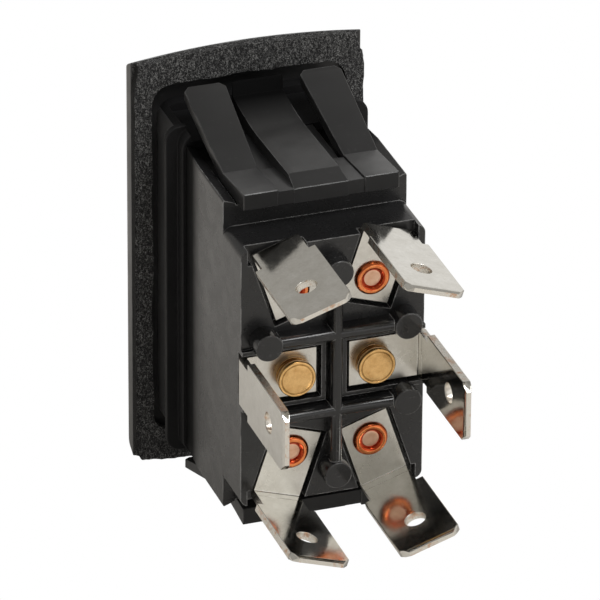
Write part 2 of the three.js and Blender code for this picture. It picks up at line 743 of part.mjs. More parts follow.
function rockerActuator() {
  const { halfX, backY } = ROCKER;
  const paddle = prism(rockerOutline(), -halfX, halfX);
  const hollows = [-1, 1].map((side) =>
    box(
      [-ROCKER_HOLLOW.halfX, ROCKER_HOLLOW.halfX],
      [ROCKER_HOLLOW.floorY, backY + 1],
      [side * ROCKER_HOLLOW.nearZ, side * ROCKER_HOLLOW.farZ],
    ),
  );
  const hub = box(
    [-ROCKER_HUB.halfX, ROCKER_HUB.halfX],
    [backY - MERGE, ROCKER_HUB.rearY],
    [-ROCKER_HUB.halfZ, ROCKER_HUB.halfZ],
  );
  const trunnions = crossRod(TRUNNION.radius, -TRUNNION.endX, TRUNNION.endX, 0, 0);
  const legs = [-1, 1].map((side) => rod(LEG.radius, 0, LEG.endY, side * POLE_X, 0));
  const bores = [-1, 1].map((side) => rod(LEG.bore, LEG.boreFloorY, LEG.endY + 1, side * POLE_X, 0));
  const rocker = joined([without(paddle, hollows), hub, trunnions, ...legs]);
  return without(rocker, bores);
}

// ---------------------------------------------------------------- assembly

const rockerSwitch = new THREE.Group();

function addPiece(name, solid, finish) {
  const mesh = new THREE.Mesh(toGeometry(solid), finish);
  mesh.name = name;
  rockerSwitch.add(mesh);
}

addPiece('mounting_bracket', mountingBracket(), MATERIALS.bracket);
addPiece('panel_gasket', panelGasket(), MATERIALS.gasket);
addPiece('switch_base', switchBase(), MATERIALS.base);
addPiece('rocker_actuator', rockerActuator(), MATERIALS.rocker);

for (const [end, side] of [['upper', 1], ['lower', -1]]) {
  for (const [hand, x] of [['right', 1], ['left', -1]]) {
    addPiece(`latch_arm_${end}_${hand}`, latchArm(side, x), MATERIALS.bracket);
  }
}

for (const terminal of TERMINALS) {
  const { name, isMiddle, rivetX, rivetZ, outward, plateY } = terminal;
  addPiece(`terminal_${name}`, terminalSolid(plateY), MATERIALS.terminal);
  const mesh = rockerSwitch.children.at(-1);
  mesh.position.set(rivetX, 0, rivetZ);
  mesh.rotation.y = Math.atan2(outward[0], outward[1]);
  if (isMiddle) {
    addPiece(`pivot_rivet_${name}`, pivotRivet(terminal), MATERIALS.brass);
  } else {
    addPiece(`eyelet_rivet_${name}`, eyeletRivet(terminal), MATERIALS.copper);
    addPiece(`fixed_contact_${name}`, fixedContact(terminal), MATERIALS.silver);
  }
}

for (const [hand, side] of [['right', 1], ['left', -1]]) {
  const x = side * POLE_X;
  addPiece(`contact_cradle_${hand}`, contactCradle(x), MATERIALS.brass);
  addPiece(`contact_arm_${hand}`, contactArm(x), MATERIALS.copper);
  addPiece(`moving_contact_upper_${hand}`, movingContact(x, 1), MATERIALS.silver);
  addPiece(`moving_contact_lower_${hand}`, movingContact(x, -1), MATERIALS.silver);
  addPiece(`plunger_${hand}`, plunger(x), MATERIALS.plunger);
  addPiece(`plunger_spring_${hand}`, plungerSpring(x), MATERIALS.spring);
}

export default rockerSwitch;
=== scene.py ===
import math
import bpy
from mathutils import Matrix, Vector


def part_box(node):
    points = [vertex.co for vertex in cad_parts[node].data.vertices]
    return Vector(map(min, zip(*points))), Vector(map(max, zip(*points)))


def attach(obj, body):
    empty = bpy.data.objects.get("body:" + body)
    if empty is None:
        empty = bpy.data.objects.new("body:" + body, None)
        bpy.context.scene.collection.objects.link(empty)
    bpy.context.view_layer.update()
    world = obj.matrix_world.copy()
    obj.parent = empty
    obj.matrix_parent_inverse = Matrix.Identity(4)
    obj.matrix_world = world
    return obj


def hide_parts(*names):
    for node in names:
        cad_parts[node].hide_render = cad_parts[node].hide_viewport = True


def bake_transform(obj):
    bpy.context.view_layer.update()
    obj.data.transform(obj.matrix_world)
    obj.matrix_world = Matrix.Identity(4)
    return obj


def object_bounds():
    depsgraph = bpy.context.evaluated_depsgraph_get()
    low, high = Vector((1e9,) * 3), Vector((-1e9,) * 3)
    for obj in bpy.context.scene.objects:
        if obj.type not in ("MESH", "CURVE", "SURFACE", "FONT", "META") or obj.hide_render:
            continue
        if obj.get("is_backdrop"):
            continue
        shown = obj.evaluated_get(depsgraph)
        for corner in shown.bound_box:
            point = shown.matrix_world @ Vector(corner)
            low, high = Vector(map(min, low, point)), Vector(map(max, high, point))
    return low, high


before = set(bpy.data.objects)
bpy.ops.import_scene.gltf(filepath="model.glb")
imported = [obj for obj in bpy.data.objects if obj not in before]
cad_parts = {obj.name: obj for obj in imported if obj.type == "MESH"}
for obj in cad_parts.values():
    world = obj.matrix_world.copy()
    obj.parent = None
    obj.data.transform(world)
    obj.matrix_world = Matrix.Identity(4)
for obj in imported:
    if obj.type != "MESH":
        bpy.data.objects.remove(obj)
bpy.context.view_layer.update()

# Looks of a snap-in rocker switch, seen from behind. The shapes are drawn in millimetres and scaled
# to metres at the end; the materials' detail sizes are in millimetres too. +Z runs along the long
# side, the rocker faces -Y and the terminals point along +Y. "Right" is +X, seen from the front.

from types import SimpleNamespace as Sizes

import bmesh
import bpy
from mathutils import Matrix, Vector, noise

MM = 0.001
SCENE = bpy.context.scene
FOAM_SEED = 2  # without a seed the noise follows the clock, and the foam is torn differently each run
noise.seed_set(FOAM_SEED)

# ---------------- sizes, in the CAD model's frame

POLE_X = 4.1
OUTER_RIVET_Z = 8.9
SHEET = 0.8
SPLAY = math.radians(18)

BEZEL = Sizes(
    half_x=11.98, top_z=22.4, bottom_z=-21.8, rise=0.8, radius=0.15, side_slope=2.3, end_fall=0.52,
    back_y=-1.15, rim_y=-2.1, front_y=-4.8, edge=0.08, lip=0.6,
)
OPENING = Sizes(half_x=7.9, half_z=16.2, radius=1.2)
GASKET = Sizes(thickness=1.1, hole_x=10.2, hole_top=20.1, hole_bottom=-19.0, hole_radius=2.5)
SLEEVE = Sizes(half_x=9.3, half_z=18.0, radius=1.8, inner_x=8.1, inner_z=16.2, rear_y=6.9)
COLLAR = Sizes(half_x=10.5, half_z=18.1, radius=1.5, front_y=4.7, rear_y=5.4)
ARM_POCKET = Sizes(half_x=8.45, front_y=0.15, floor_z=17.1)
CRUSH_RIB = Sizes(y=2.3, half_x=0.3, half_y=0.5, half_z=1.3, sunk=0.1, places_z=(-8.2, 2.6, 10.4))
TONGUE = Sizes(half_x=2.6, rear_half_x=2.8, dip_y=9.3, dip_z=18.25, crest_y=19.1, crest_z=18.55)
TONGUE_WALL = [(2.2, 20.5), (2.3, 20.3), (2.45, 19.1), (2.52, 18.98)]
TONGUE_SWEEP = Sizes(y=8.8, reach=4.5, depth=1.5)
WING = Sizes(
    bend_y=15.25, bend_z=17.6, rear_y=21.5, rear_z=18.25,
    step_y=19.65, under_z=16.35, lip_z=16.5, drop=0.2,
)
WEB = Sizes(half_x=4.15, front_y=6.3, rear_y=15.9, top_z=17.0)
ARM = Sizes(
    inner_x=4.4, outer_x=7.95, flare_in=0.6, flare_out=0.2, tip_y=3.4, tip_z=21.3,
    chamfer=0.6, thickness=1.0, hinge_y=14.6,
)
BODY = Sizes(half_x=9.4, half_z=17.0, front_y=6.95, step_y=19.6, rear_y=25.0, rear_half_z=14.05)
BODY_CORNER = Sizes(front=0.35, rear=0.9)
BODY_WAIST = Sizes(inset=0.46, length=4.6)
CHANNEL = Sizes(half_x=8.1, floor_z=16.3, inner_slope_z=16.45, outer_slope_z=16.98)
ROOM = Sizes(half_x=8.0, half_z=15.1, step_y=18.2, rear_half_z=12.8, rear_y=21.4)
RIB = Sizes(width=1.15, foot_y=24.1, top_y=26.8, z=4.2, half_x=7.15, half_z=11.1)
POST = Sizes(radius=1.4, end_y=27.05)
PLATE = Sizes(width=4.9, behind=2.4, reach=5.5, bend=0.9, hole=1.55, outer_y=24.65, middle_y=25.05)
WELL = Sizes(gap=0.4, mouth_x=(2.9, 8.7), mouth_z=12.4, kerb=0.45, kerb_y=25.45)
BLADE = Sizes(
    width=6.35, shoulder_y=27.6, tip_y=38.2, tip_thickness=0.44, chamfer=0.8, bevel=0.45,
    hole=1.0, hole_from_tip=4.5,
)
EYELET = Sizes(rim=1.78, roll=1.38, crest=0.45, floor=0.85, sunk=0.35)
EYELET_INNER_HEAD = Sizes(radius=2.1, front_y=20.5, rear_y=21.35)
CAP = Sizes(radius=1.92, face_y=26.5)
CAP_INNER_HEAD = Sizes(radius=2.0, front_y=19.9, rear_y=20.55)
SHANK = 1.5
HEADS_FROM_Y = 24
ROCKER = Sizes(half_x=7.6, swing=15.9, centre_y=-4.2, end_y=-5.6, end_z=14.8, back_y=-0.8)
ROCKER_HOLLOW = Sizes(half_x=6.3, near_z=3.6, far_z=13.9, floor_y=-3.0)
HUB = Sizes(half_x=7.2, half_z=3.0, front_y=-1.4, rear_y=1.8)
TRUNNION = Sizes(radius=1.3, half_x=8.75)
LEG = Sizes(radius=2.2, bore=1.4, floor_y=2.5, rear_y=14)
SPRING = Sizes(wire=0.17, coil=0.95, turns=7)
PAST = 1  # how far a cutter reaches past what it cuts

HANDS = (("right", 1), ("left", -1))
TERMINALS = [
    Sizes(name=f"{level}_{hand}", x=x, z=z)
    for level, z in (("upper", 1), ("middle", 0), ("lower", -1)) for hand, x in HANDS
]
for terminal in TERMINALS:
    outer = terminal.z != 0
    terminal.rear_y = PLATE.outer_y if outer else PLATE.middle_y
    terminal.rivet = (terminal.x * POLE_X, terminal.z * OUTER_RIVET_Z)
    across = terminal.x * (math.sin(SPLAY) if outer else 1)
    terminal.turn = math.atan2(across, terminal.z * math.cos(SPLAY))


# ---------------- mesh tools


def make(name, points, faces):
    """An object from points in millimetres, with its faces turned outwards."""
    mesh = bpy.data.meshes.new(name)
    mesh.from_pydata([tuple(p) for p in points], [], faces)
    shape = bmesh.new()
    shape.from_mesh(mesh)
    bmesh.ops.remove_doubles(shape, verts=shape.verts, dist=1e-4)
    bmesh.ops.recalc_face_normals(shape, faces=shape.faces)
    shape.to_mesh(mesh)
    shape.free()
    piece = bpy.data.objects.new(name, mesh)
    SCENE.collection.objects.link(piece)
    return piece


def skin(rings, cyclic, closed=True):
    """The points of the rings and the faces between them; closed rings join up, cyclic skins too."""
    count = len(rings[0])
    faces = []
    for i in range(len(rings) if cyclic else len(rings) - 1):
        a, b = i * count, ((i + 1) % len(rings)) * count
        for j in range(count if closed else count - 1):
            k = (j + 1) % count
            faces.append((a + j, a + k, b + k, b + j))
    return [p for ring in rings for p in ring], faces


def loft(name, rings, cyclic=False):
    """A skin through rings of points. A cyclic one closes on itself, as a frame does."""
    points, faces = skin(rings, cyclic)
    if not cyclic:
        count = len(rings[0])
        faces += [tuple(range(count)), tuple(range(len(points) - count, len(points)))]
    return make(name, points, faces)


def extruded(name, outline, axis, low, high):
    """An outline given thickness along an axis. It is drawn in XZ for y, YZ for x and XY for z."""
    place = {
        "x": lambda a, b, t: (t, a, b),
        "y": lambda a, b, t: (a, t, b),
        "z": lambda a, b, t: (a, b, t),
    }[axis]
    return loft(name, [[place(a, b, t) for a, b in outline] for t in (low, high)])


def block(name, x, y, z):
    (x0, x1), (y0, y1), (z0, z1) = x, y, z
    return extruded(name, [(x0, z0), (x1, z0), (x1, z1), (x0, z1)], "y", y0, y1)


def turned(name, profile, centre=(0, 0), sides=64):
    """A profile of (radius, y) turned about a line along Y through centre."""
    rings = []
    for angle in span(0, math.tau, sides):
        across, up = math.cos(angle), math.sin(angle)
        rings.append([(centre[0] + r * across, y, centre[1] + r * up) for r, y in profile])
    return make(name, *skin(rings, cyclic=True, closed=False))


def rod(name, radius, y0, y1, centre=(0, 0)):
    return turned(name, [(0, y0), (radius, y0), (radius, y1), (0, y1)], centre)


def bake_modifiers(piece):
    graph = bpy.context.evaluated_depsgraph_get()
    mesh = bpy.data.meshes.new_from_object(piece.evaluated_get(graph))
    piece.modifiers.clear()
    piece.data = mesh
    return piece


def combine(piece, others, operation):
    for other in others:
        modifier = piece.modifiers.new("combine", "BOOLEAN")
        modifier.operation = operation
        modifier.solver = "MANIFOLD"
        modifier.object = other
        bake_modifiers(piece)
        bpy.data.objects.remove(other)
    return piece


def cut(piece, cutters):
    return combine(piece, cutters, "DIFFERENCE")


def join(piece, others):
    return combine(piece, others, "UNION")


def soften(piece, width, angle=35, segments=2):
    """Rounds the edges sharper than angle, as a mould or a press does."""
    shape = bmesh.new()
    shape.from_mesh(piece.data)
    bmesh.ops.remove_doubles(shape, verts=shape.verts, dist=0.004)
    flat = math.radians(0.5)
    bmesh.ops.dissolve_limit(shape, angle_limit=flat, verts=shape.verts, edges=shape.edges)
    shape.to_mesh(piece.data)
    shape.free()
    bevel = piece.modifiers.new("soften", "BEVEL")
    bevel.width = width
    bevel.segments = segments
    bevel.limit_method = "ANGLE"
    bevel.angle_limit = math.radians(angle)
    bevel.use_clamp_overlap = True
    bevel.harden_normals = True
    smooth(piece, 60)
    return bake_modifiers(piece)


def smooth(piece, angle):
    for face in piece.data.polygons:
        face.use_smooth = True
    piece.data.set_sharp_from_angle(angle=math.radians(angle))
    return piece


def settle(piece):
    """Keeps broad faces flat where rounded edges meet them."""
    smooth(piece, 45)
    weighted = piece.modifiers.new("settle", "WEIGHTED_NORMAL")
    weighted.weight = 100
    weighted.keep_sharp = True
    return bake_modifiers(piece)


def fit(piece, body, finishes, replaces=()):
    """Scales a finished shape to metres, gives it its materials and fastens it to its body."""
    piece.data.transform(Matrix.Scale(MM, 4))
    numbers = [face.material_index for face in piece.data.polygons]
    piece.data.materials.clear()
    for finish in finishes:
        piece.data.materials.append(FINISHES[finish])
    piece.data.polygons.foreach_set("material_index", numbers)
    if replaces:
        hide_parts(*replaces)
    if body:
        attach(piece, body)
    return piece


def number_faces(piece, number):
    """Gives each face the number of its finish, in the list of finishes that fit gets."""
    for face in piece.data.polygons:
        face.material_index = int(number(face))
    return piece


def arc(centre, radius, start, end, steps):
    """Points on an arc; the angles are in degrees from the outline's first axis."""
    angles = [math.radians(start + (end - start) * i / steps) for i in range(steps + 1)]
    return [(centre[0] + radius * math.cos(t), centre[1] + radius * math.sin(t)) for t in angles]


def circle(centre, radius, steps):
    return arc(centre, radius, 0, 360, steps)[:-1]


def span(start, end, steps):
    return [start + (end - start) * i / steps for i in range(steps)]


def frame_outline(half_x, half_z, radius, rise=0.0, inset=0.0, long=24, short=16):
    """A rounded rectangle in X and Z with evenly spaced points. rise arches its short ends."""
    hx, hz = half_x - inset, half_z - inset
    r = max(radius - inset, 0.05)
    cx, cz = hx - r, hz - r

    def arched(x, z):
        return (x, z + math.copysign(rise * (1 - min(1, abs(x) / hx) ** 2), z))

    points = [(hx, z) for z in span(-cz, cz, long)]
    points += arc((cx, cz), r, 0, 90, 8)[:-1]
    points += [(x, hz) for x in span(cx, -cx, short)]
    points += arc((-cx, cz), r, 90, 180, 8)[:-1]
    points += [(-x, -z) for x, z in points]
    return [arched(x, z) if abs(z) > cz - 1e-6 else (x, z) for x, z in points]


def raised(outline, by):
    return [(x, z + by) for x, z in outline]


def at_y(outline, y):
    return [(x, y, z) for x, z in outline]


# ---------------- material tools


class Finish:
    """A material being built from nodes, with texture sizes in millimetres."""

    def __init__(self, name, color, roughness, metallic=0.0):
        self.material = bpy.data.materials.new(name)
        self.material.use_nodes = True
        self.tree = self.material.node_tree
        self.shader = self.tree.nodes["Principled BSDF"]
        self.shader.inputs["Base Color"].default_value = (*color, 1)
        self.shader.inputs["Roughness"].default_value = roughness
        self.shader.inputs["Metallic"].default_value = metallic
        self.place = self.node("ShaderNodeTexCoord").outputs["Object"]
        self.normal = None

    def node(self, kind, inputs=None, **settings):
        made = self.tree.nodes.new(kind)
        for key, value in settings.items():
            setattr(made, key, value)
        for key, value in (inputs or {}).items():
            self.feed(value, made.inputs[key])
        return made

    def feed(self, value, socket):
        if isinstance(value, bpy.types.NodeSocket):
            self.tree.links.new(value, socket)
        elif value is not None:
            socket.default_value = value

    def scaled(self, size, stretch=(1, 1, 1), turn=(0, 0, 0)):
        scale = [1 / (size * MM * s) for s in stretch]
        inputs = {"Vector": self.place, "Scale": scale, "Rotation": turn}
        return self.node("ShaderNodeMapping", inputs).outputs["Vector"]

    def noise(self, size, detail=3.0, rough=0.55, stretch=(1, 1, 1), turn=(0, 0, 0), distortion=0.0):
        inputs = {"Vector": self.scaled(size, stretch, turn), "Scale": 1, "Detail": detail}
        inputs |= {"Roughness": rough, "Distortion": distortion}
        return self.node("ShaderNodeTexNoise", inputs).outputs["Fac"]

    def cells(self, size):
        """How far a place is from the middle of the nearest cell."""
        inputs = {"Vector": self.scaled(size), "Scale": 1}
        return self.node("ShaderNodeTexVoronoi", inputs).outputs["Distance"]

    def ramp(self, value, low, high, start=0.0, end=1.0):
        """value stretched so that low gives start and high gives end."""
        inputs = {"Value": value, "From Min": low, "From Max": high, "To Min": start, "To Max": end}
        return self.node("ShaderNodeMapRange", inputs, clamp=True).outputs["Result"]

    def maths(self, operation, a, b):
        return self.node("ShaderNodeMath", {0: a, 1: b}, operation=operation).outputs[0]

    def mix(self, share, a, b):
        a, b = [(*color, 1) if isinstance(color, tuple) else color for color in (a, b)]
        made = self.node("ShaderNodeMix", data_type="RGBA")
        for value, key in ((share, "Factor"), (a, "A"), (b, "B")):
            self.feed(value, made.inputs[key])
        return made.outputs["Result"]

    def agreement(self, a, b):
        """How far two directions agree, from -1 to 1."""
        return self.node("ShaderNodeVectorMath", {0: a, 1: b}, operation="DOT_PRODUCT").outputs["Value"]

    def facing(self, *direction):
        """How far the surface faces a direction of the object, from -1 to 1."""
        return self.agreement(self.node("ShaderNodeTexCoord").outputs["Normal"], direction)

    def edges(self, radius):
        """1 along edges that a radius in millimetres would round, 0 on flat faces."""
        rounded = self.node("ShaderNodeBevel", {"Radius": radius * MM}, samples=6).outputs["Normal"]
        true = self.node("ShaderNodeNewGeometry").outputs["Normal"]
        return self.ramp(self.agreement(rounded, true), 0.996, 0.92)

    def along_y(self, near, far):
        """1 in front of near, 0 behind far, in millimetres from the panel."""
        place = self.node("ShaderNodeSeparateXYZ", {0: self.place})
        return self.ramp(place.outputs["Y"], near * MM, far * MM, 1.0, 0.0)

    def bump(self, height, depth):
        inputs = {"Strength": 1, "Distance": depth * MM, "Height": height, "Normal": self.normal}
        self.normal = self.node("ShaderNodeBump", inputs).outputs["Normal"]

    def done(self, color, roughness, shine=0.5):
        self.feed(color, self.shader.inputs["Base Color"])
        self.feed(roughness, self.shader.inputs["Roughness"])
        self.feed(shine, self.shader.inputs["Specular IOR Level"])
        self.feed(self.normal, self.shader.inputs["Normal"])
        return self.material


def moulded_plastic(
    name, color, roughness, grain, scuffs=0.1, edge_highlight=0.0, shine=0.5, gloss_spread=0.05, matt_and_shaded_front=None
):
    """Thermoplastic: grain of a size and a depth, uneven gloss, faint scuffs and paler edges, partly wear and
    partly a painted highlight.
    A pair of places along Y, where given, turns a matt front that is painted darker as shade into the full
    gloss."""
    f = Finish(name, color, roughness)
    grain_size, grain_depth = grain
    scratch_a = f.noise(0.35, detail=2, stretch=(1, 14, 1), turn=(0.3, 0.1, 0.5))
    scratch_b = f.noise(0.3, detail=2, stretch=(12, 1, 1), turn=(0.1, 0.7, 0.2))
    scratches = f.ramp(f.maths("MULTIPLY", scratch_a, scratch_b), 0.36, 0.46, 0, scuffs)
    # Paler edges: partly wear, partly a painted highlight where light would catch the rounded edges; the edge
    # highlight amount brightens them further.
    worn_and_highlit_edges = f.maths("MULTIPLY", f.edges(0.15), f.ramp(f.noise(1.4), 0.35, 0.55))
    pale = tuple(min(1, c * 2.2 + edge_highlight) for c in color)
    lifted = tuple(c * 1.3 + 0.002 for c in color)
    shade = f.mix(f.ramp(f.noise(6, detail=2), 0.35, 0.7), color, lifted)
    shade = f.mix(scratches, shade, pale)
    shade = f.mix(worn_and_highlit_edges, shade, pale)
    gloss = f.ramp(f.noise(2.2, detail=4), 0.3, 0.7, roughness - gloss_spread, roughness + gloss_spread)
    gloss = f.maths("ADD", gloss, f.maths("MULTIPLY", scratches, 0.15))
    f.bump(f.noise(grain_size, detail=4, rough=0.65), grain_depth)
    f.bump(f.noise(3.5, detail=1), 0.012)
    # Painted shade: in front of the given places the colour is darkened to about a third as shade, while
    # gloss and shine drop for a matt front.
    if matt_and_shaded_front:
        matt = f.along_y(*matt_and_shaded_front)
        gloss = f.maths("ADD", gloss, f.maths("MULTIPLY", matt, 0.3))
        shade = f.mix(matt, shade, tuple(c * 0.35 for c in color))
        shine = f.ramp(matt, 0, 1, shine, 0.04)
    return f.done(shade, gloss, shine)


def foam(name):
    """Charcoal foam: torn cell walls and fine pale fluff over a dark base, with painted shade in the cell
    hollows and on the faces that look neither towards the terminals nor up.
    """
    f = Finish(name, (0.035, 0.035, 0.036), 0.95)
    cells = f.cells(0.24)
    fluff = f.noise(0.15, rough=0.7, distortion=1.2)
    strands = f.noise(0.20, rough=0.7, stretch=(1.0, 1.0, 2.0), turn=(0, 0.7, 0), distortion=1.2)
    patches = f.ramp(f.noise(1.6), 0.3, 0.7, 0.5, 1.0)
    speckle = f.ramp(f.maths("MULTIPLY", fluff, strands), 0.24, 0.36)
    speckle = f.maths("MULTIPLY", speckle, patches)
    # Painted shade: the hollow middle of each cell is darker.
    pits = f.ramp(cells, 0.15, 0.55)
    shade = f.mix(pits, (0.006, 0.006, 0.006), (0.020, 0.020, 0.021))
    shade = f.mix(speckle, shade, (0.30, 0.30, 0.295))
    # Painted shade: faces that look neither towards +Y nor up are darkened, as the sides and underside lie in
    # shade.
    skin = f.ramp(f.maths("MAXIMUM", f.facing(0, 1, 0), f.facing(0, 0, 1)), 0.3, 0.8)
    shade = f.mix(skin, (0.006, 0.006, 0.006), shade)
    f.bump(cells, 0.05)
    f.bump(fluff, 0.08)
    return f.done(shade, f.ramp(fluff, 0.3, 0.7, 0.85, 1.0), 0.3)


def tin_plate(name, wear=0.0):
    """Tin-plated strip: nearly a mirror, with fine rolling grain, smears and tiny pits."""
    f = Finish(name, (0.72, 0.70, 0.66), 0.12, 1.0)
    grain = f.noise(0.07, detail=4, stretch=(1, 7, 1))
    cloud = f.noise(1.5, detail=5, rough=0.6)
    mottle = f.ramp(f.noise(0.35, detail=4, rough=0.7), 0.35, 0.7)
    pits = f.ramp(f.cells(0.5), 0.0, 0.10)
    shade = f.mix(f.ramp(cloud, 0.3, 0.7), (0.64, 0.62, 0.57), (0.75, 0.735, 0.69))
    shade = f.mix(f.maths("MULTIPLY", mottle, 0.3), shade, (0.50, 0.48, 0.43))
    shade = f.mix(pits, (0.42, 0.40, 0.36), shade)
    smears = f.ramp(cloud, 0.3, 0.7, 0.06 + wear, 0.12 + wear)
    gloss = f.maths("ADD", smears, f.ramp(grain, 0.4, 0.7, 0, 0.04))
    gloss = f.maths("ADD", gloss, f.maths("MULTIPLY", mottle, 0.05))
    f.bump(grain, 0.0012)
    f.bump(f.noise(2.5, detail=1), 0.004)
    return f.done(shade, gloss)


def sheared_edge(name):
    """The cut edge of the strip: bright tin smeared over the warm core of the sheet."""
    f = Finish(name, (0.68, 0.62, 0.54), 0.3, 1.0)
    streaks = f.noise(0.12, detail=4)
    smear = f.ramp(f.noise(0.7, detail=4), 0.30, 0.46)
    shade = f.mix(smear, (0.58, 0.38, 0.26), (0.74, 0.71, 0.65))
    f.bump(streaks, 0.012)
    return f.done(shade, f.ramp(streaks, 0.3, 0.7, 0.22, 0.4))


def soft_metal(name, bright, deep, roughness, ring_size=0.14, dent=0.02):
    """Riveted copper or brass: tool marks, small dents and patches of darker tarnish."""
    f = Finish(name, bright, roughness, 1.0)
    tarnish = f.ramp(f.noise(0.7, detail=5, rough=0.65), 0.42, 0.72)
    marks = f.noise(ring_size, stretch=(1, 0.4, 1))
    f.bump(marks, 0.006)
    f.bump(f.noise(0.5, detail=2), dent)
    shade = f.mix(tarnish, bright, deep)
    return f.done(shade, f.ramp(marks, 0.3, 0.7, roughness - 0.05, roughness + 0.08))


SATIN_BLACK = (0.013, 0.013, 0.0135)
GLOSS_BLACK = (0.011, 0.011, 0.0115)
SATIN = dict(color=SATIN_BLACK, roughness=0.33, grain=(0.09, 0.004), edge_highlight=0.08)
FINISHES = {
    "bracket": moulded_plastic("satin_nylon", **SATIN),
    # painted shade and dark reflection: the tongue's front, up to about 8 mm, is darkened and made matt
    "tongue": moulded_plastic("drawn_nylon", **SATIN, matt_and_shaded_front=(3.0, 8.0)),
    "sleeve": moulded_plastic("grained_nylon", (0.008, 0.008, 0.0085), 0.6, (0.16, 0.03), shine=0.2),
    "matt": moulded_plastic("matt_nylon", (0.010, 0.010, 0.0105), 0.5, (0.12, 0.01), shine=0.3),
    "waist": moulded_plastic("pale_waist_nylon", (0.045, 0.045, 0.046), 0.35, (0.12, 0.006)),
    # painted shade and dark reflection: the front of the body, in front of about 12 mm, is darkened and made
    # matt
    "base": moulded_plastic(
        "gloss_moulding", GLOSS_BLACK, 0.27, (0.15, 0.004), scuffs=0.06, edge_highlight=0.28, matt_and_shaded_front=(9.6, 12.4)
    ),
    "ribs": moulded_plastic("polished_moulding", GLOSS_BLACK, 0.15, (0.3, 0.006), edge_highlight=0.35),
    "rocker": moulded_plastic(
        "soft_nylon", (0.016, 0.016, 0.017), 0.5, (0.14, 0.02), scuffs=0.5, edge_highlight=0.06, gloss_spread=0.06
    ),
    "plunger": moulded_plastic("pale_acetal", (0.62, 0.60, 0.53), 0.4, (0.2, 0.004), scuffs=0.2),
    "gasket": foam("charcoal_foam"),
    "tin": tin_plate("tin_plate"),
    "worn_tin": tin_plate("worn_tin_plate", 0.18),
    "shear": sheared_edge("sheared_edge"),
    "copper": soft_metal("bright_copper", (0.86, 0.30, 0.11), (0.66, 0.16, 0.05), 0.15),
    # Darker copper painted as shade and dark reflection on an eyelet's inner wall and the outer side of its
    # rim.
    "shaded_copper": soft_metal("shaded_copper", (0.50, 0.07, 0.022), (0.32, 0.03, 0.010), 0.2),
    "shaded_rim_copper": soft_metal("shaded_rim_copper", (0.58, 0.14, 0.045), (0.42, 0.08, 0.025), 0.2),
    "dull_copper": soft_metal("dull_copper", (0.80, 0.52, 0.37), (0.70, 0.40, 0.26), 0.35, 0.08, 0.004),
    "brass": soft_metal("golden_brass", (0.82, 0.52, 0.22), (0.64, 0.36, 0.13), 0.28, 0.07, 0.004),
    "deep_brass": soft_metal("deep_brass", (0.50, 0.29, 0.10), (0.24, 0.12, 0.035), 0.2, 0.07, 0.004),
    "silver": soft_metal("contact_silver", (0.86, 0.85, 0.83), (0.55, 0.54, 0.52), 0.32),
    "spring": soft_metal("spring_wire", (0.55, 0.55, 0.56), (0.35, 0.34, 0.33), 0.28, 0.06),
}


# ---------------- bracket


def bezel_outline(inset_x=0.0, inset_z=0.0, radius=BEZEL.radius, long=24, short=16):
    """The outline of the bezel, which stands a little further out at the top than at the bottom."""
    b = BEZEL
    half, middle = (b.top_z - b.bottom_z) / 2, (b.top_z + b.bottom_z) / 2
    outline = frame_outline(
        b.half_x - inset_x, half - inset_z, radius, b.rise, long=long, short=short
    )
    return raised(outline, middle)


def bezel_frame():
    """Domed frame round the rocker, swept round its outline from the back edge into the opening."""
    b, o = BEZEL, OPENING
    edge, lip = b.edge, b.lip
    inner = lambda grow: frame_outline(o.half_x, o.half_z, o.radius, 0, -grow)
    rings = [at_y(bezel_outline(edge, edge), b.back_y), at_y(bezel_outline(), b.back_y - edge)]
    depth = b.rim_y - b.front_y
    for i in range(13):
        angle = math.radians(90 * i / 12)
        y = b.rim_y - depth * math.sin(angle)
        rounding = b.side_slope * (1 - math.cos(angle))
        rings.append(at_y(bezel_outline(rounding, rounding + b.end_fall * (b.back_y - y)), y))
    for i in range(7):
        angle = math.radians(90 * i / 6)
        ring = inner(lip * (1 - math.sin(angle)))
        rings.append(at_y(ring, b.front_y + lip * (1 - math.cos(angle))))
    rings.append(at_y(inner(0), b.back_y))
    piece = smooth(loft("bezel_frame", rings, cyclic=True), 35)
    return fit(piece, "housing", ["bracket"], ["mounting_bracket"])


def bracket_sleeve():
    """Waist behind the bezel, with the collar that centres it in the cut-out."""
    s, c, p = SLEEVE, COLLAR, ARM_POCKET
    waist = lambda inset=0: frame_outline(s.half_x, s.half_z, s.radius, 0, inset)
    collar = lambda inset=0: frame_outline(c.half_x, c.half_z, c.radius, 0, inset)
    bore = lambda grow=0: frame_outline(s.inner_x, s.inner_z, OPENING.radius, 0, -grow)
    r, front, rear = 0.07, c.front_y, c.rear_y
    stations = [
        (waist(), BEZEL.back_y), (waist(), front - r), (waist(-r), front), (collar(r), front),
        (collar(), front + r), (collar(), rear - r), (collar(r), rear), (waist(-r), rear),
        (waist(), rear + r), (waist(), s.rear_y - r), (waist(r), s.rear_y), (bore(r), s.rear_y),
        (bore(), s.rear_y - r), (bore(), BEZEL.back_y),
    ]
    piece = loft("bracket_sleeve", [at_y(outline, y) for outline, y in stations], cyclic=True)
    for side in (-1, 1):
        ends = sorted((side * p.floor_z, side * (s.half_z + PAST)))
        across, along = (-p.half_x, p.half_x), (p.front_y, s.rear_y + PAST)
        cut(piece, [block("pocket", across, along, ends)])
    smooth(piece, 28)
    # The sides of the waist in front of the collar get a paler, glossier nylon.
    number_faces(piece, lambda face: abs(face.normal.x) > 0.8 and face.center.y < c.front_y)
    return fit(piece, "housing", ["sleeve", "waist"])


